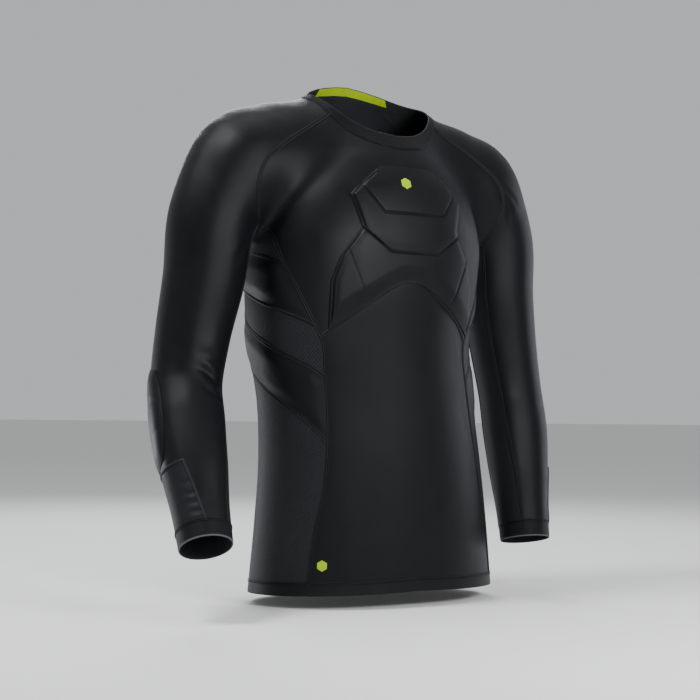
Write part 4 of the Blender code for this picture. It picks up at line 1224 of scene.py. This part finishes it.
# Grooves across the elbow pad: places from -1 to 1, half the pad's length, depth, half width.
GROOVES, GROOVE_SPAN, GROOVE_DEPTH, GROOVE_HALF = (-0.34, 0.34), 0.072, 0.0009, 0.0018
GROOVE_START, GROOVE_SLOPE = 0.006, 0.010
for side in SIGN:
    arm = ARM_OF[side]
    v, u = np.meshgrid(*(2 * crowded(steps) - 1 for steps in ELBOW_STEPS), indexing="ij")
    drawn_v, drawn_u = v * np.sqrt(1 - ROUNDING * u * u / 2), u * np.sqrt(1 - ROUNDING * v * v / 2)
    s = np.mean(ELBOW_PAD_SPAN) + drawn_v * (ELBOW_PAD_SPAN[1] - ELBOW_PAD_SPAN[0]) / 2
    reach = ELBOW_PAD_REACH[1] + (ELBOW_PAD_REACH[0] - ELBOW_PAD_REACH[1]) * np.abs(drawn_v) ** 3
    turn = ELBOW_PAD_TURN + reach * drawn_u
    sheet = settle(arm.ring(s, turn))
    gap = rim_gap(sheet, whole(sheet))
    swell = np.clip(gap / PAD_SLOPE, 0, 1)
    high = ELBOW_RIM + (ELBOW_PAD - 2 * ELBOW_RIM) * swell * (2 - swell) + crowned(sheet, ELBOW_CAP)
    for share in GROOVES:
        high = high - (GROOVE_DEPTH * np.exp(-((v - share) * GROOVE_SPAN / GROOVE_HALF) ** 2)
                       * rise(gap - GROOVE_START, GROOVE_SLOPE))
    high = np.maximum(high, ELBOW_LEAST)
    name = "elbow_pad_" + side
    pieces[name] = wall(name + "_cloth", sheet, 0.0001, high, PAD_KNIT, inset=0, gap=gap)
    as_pad(pieces[name], name)


# Small plain hexagons of lime print, laid on the cloth below them.
CORNERS, EDGE_STEPS, RINGS = 6, 8, 14
PRINT_LIFT, PRINT_THICK, DROP = 0.00025, 0.0004, 0.03


def printed(name, pixel, radius, carrier):
    """A hexagon laid on a piece, where the camera sees a pixel of the photograph."""
    middle = pictured([pixel])[0]
    up = normals(middle[None])[0]
    across = unit(np.cross((0.0, 0.0, 1.0), up))
    down = np.cross(up, across)
    tree = BVHTree.FromObject(pieces[carrier], bpy.context.evaluated_depsgraph_get())
    corner = np.arange(CORNERS) * 2 * np.pi / CORNERS + np.pi / 6
    rim = np.stack([np.cos(corner), np.sin(corner)], -1)
    along = np.linspace(0, 1, EDGE_STEPS + 1)[:-1, None]
    rim = np.concatenate([a + along * (b - a) for a, b in zip(rim, np.roll(rim, -1, 0))])
    flat = np.concatenate([rim * share for share in np.linspace(0.04, 1, RINGS)]) * radius
    above = middle + flat[:, :1] * across + flat[:, 1:] * down + up * DROP
    points = np.array([tree.ray_cast(Vector(start), Vector(-up))[0] for start in above]) + up * PRINT_LIFT
    k, n = len(rim), len(points)
    faces = [tuple(range(k))[::-1]]
    for start in range(0, n - k, k):
        for i in range(k):
            a, b = start + i, start + (i + 1) % k
            faces.append((a, a + k, b + k, b))
    lower = [tuple(v + n for v in f[::-1]) for f in faces]
    edge = [(n - k + (i + 1) % k, n - k + i, 2 * n - k + i, 2 * n - k + (i + 1) % k) for i in range(k)]
    faces = faces + lower + edge
    verts = np.concatenate([points, points - up * PRINT_THICK])
    places = np.concatenate([np.pad(flat, ((0, 0), (0, 1)), constant_values=FROM_RIM)] * 2)
    corners = places[np.concatenate([np.array(f) for f in faces])]
    declare(add_mesh(name, verts, faces, PRINT, corners))


printed("chest_mark", (404, 185), 0.0085, "chest_plate_top")
printed("hem_mark", (322, 566), 0.0075, "front_body")


# Studio: a wide pale floor, soft lights, and the camera of the photograph.
FLOOR_HEIGHT, FLOOR_REACH = CAD_BOX[0][2] - 0.012, 60.0
paint = bpy.data.materials.new("floor_paint")
paint.use_nodes = True
paint.node_tree.nodes["Principled BSDF"].inputs["Base Color"].default_value = (0.72, 0.72, 0.71, 1.0)
paint.node_tree.nodes["Principled BSDF"].inputs["Roughness"].default_value = 0.75
floor_mesh = bpy.data.meshes.new("floor")
floor_mesh.from_pydata([(x * FLOOR_REACH, y * FLOOR_REACH, FLOOR_HEIGHT)
                        for x, y in ((-1, -1), (1, -1), (1, 1), (-1, 1))], [], [(0, 1, 2, 3)])
floor_mesh.materials.append(paint)
floor = bpy.data.objects.new("floor", floor_mesh)
bpy.context.scene.collection.objects.link(floor)

world = bpy.data.worlds.new("studio")
world.use_nodes = True
world.node_tree.nodes["Background"].inputs["Color"].default_value = (0.80, 0.81, 0.83, 1.0)
world.node_tree.nodes["Background"].inputs["Strength"].default_value = 0.66
bpy.context.scene.world = world

MIDDLE, CHEST, HIP = (0.0, 0.0, -0.33), (0.0, 0.0, -0.12), (0.0, 0.0, -0.5)
WHITE, PALE, COOL, BLUISH = (0.98, 0.98, 1.0), (0.97, 0.98, 1.0), (0.90, 0.95, 1.0), (0.88, 0.93, 1.0)
FAR, NEAR = 2.2, 1.1


def beside_camera(degrees, up, far=FAR):
    """A place round the shirt, in degrees to the right of the camera's own and degrees up."""
    a, e = np.radians(degrees), np.radians(up)
    flat = far * np.cos(e) * (np.sin(a) * RIGHT - np.cos(a) * VIEW)
    return (flat[0], flat[1], MIDDLE[2] + far * np.sin(e))


# Lights: name, place, target, size, power, color.
for name, place, target, size, power, color in (
        ("key_softbox", beside_camera(35, 13, NEAR), CHEST, (0.35, 0.35), 12, WHITE),
        ("top_softbox", (0.0, 0.0, 1.6), MIDDLE, (0.9, 0.9), 9, PALE),
        ("left_softbox", beside_camera(-55, 56), CHEST, (0.6, 0.6), 50, PALE),
        ("right_softbox", beside_camera(128, 2), MIDDLE, (0.3, 1.4), 9, BLUISH),
        ("rim_softbox", beside_camera(-125, -8), HIP, (0.3, 0.6), 13, COOL),
        ("back_softbox", beside_camera(-170, 32), MIDDLE, (1.2, 1.2), 26, PALE)):
    data = bpy.data.lights.new(name, "AREA")
    data.shape = "RECTANGLE"
    data.size, data.size_y = size
    data.energy = power
    data.color = color
    light = bpy.data.objects.new(name, data)
    light.location = place
    light.rotation_euler = (Vector(target) - Vector(place)).to_track_quat("-Z", "Y").to_euler()
    light.visible_camera = False
    bpy.context.scene.collection.objects.link(light)

camera_data = bpy.data.cameras.new("camera")
camera_data.sensor_width = SENSOR
camera_data.lens = CAMERA_FOCUS / PHOTO * SENSOR
camera = bpy.data.objects.new("camera", camera_data)
turn = Matrix([[CAMERA_X[k], CAMERA_Y[k], -FORWARD[k]] for k in range(3)])
camera.matrix_world = Matrix.Translation(Vector(EYE)) @ turn.to_4x4()
bpy.context.scene.collection.objects.link(camera)
bpy.context.scene.camera = camera
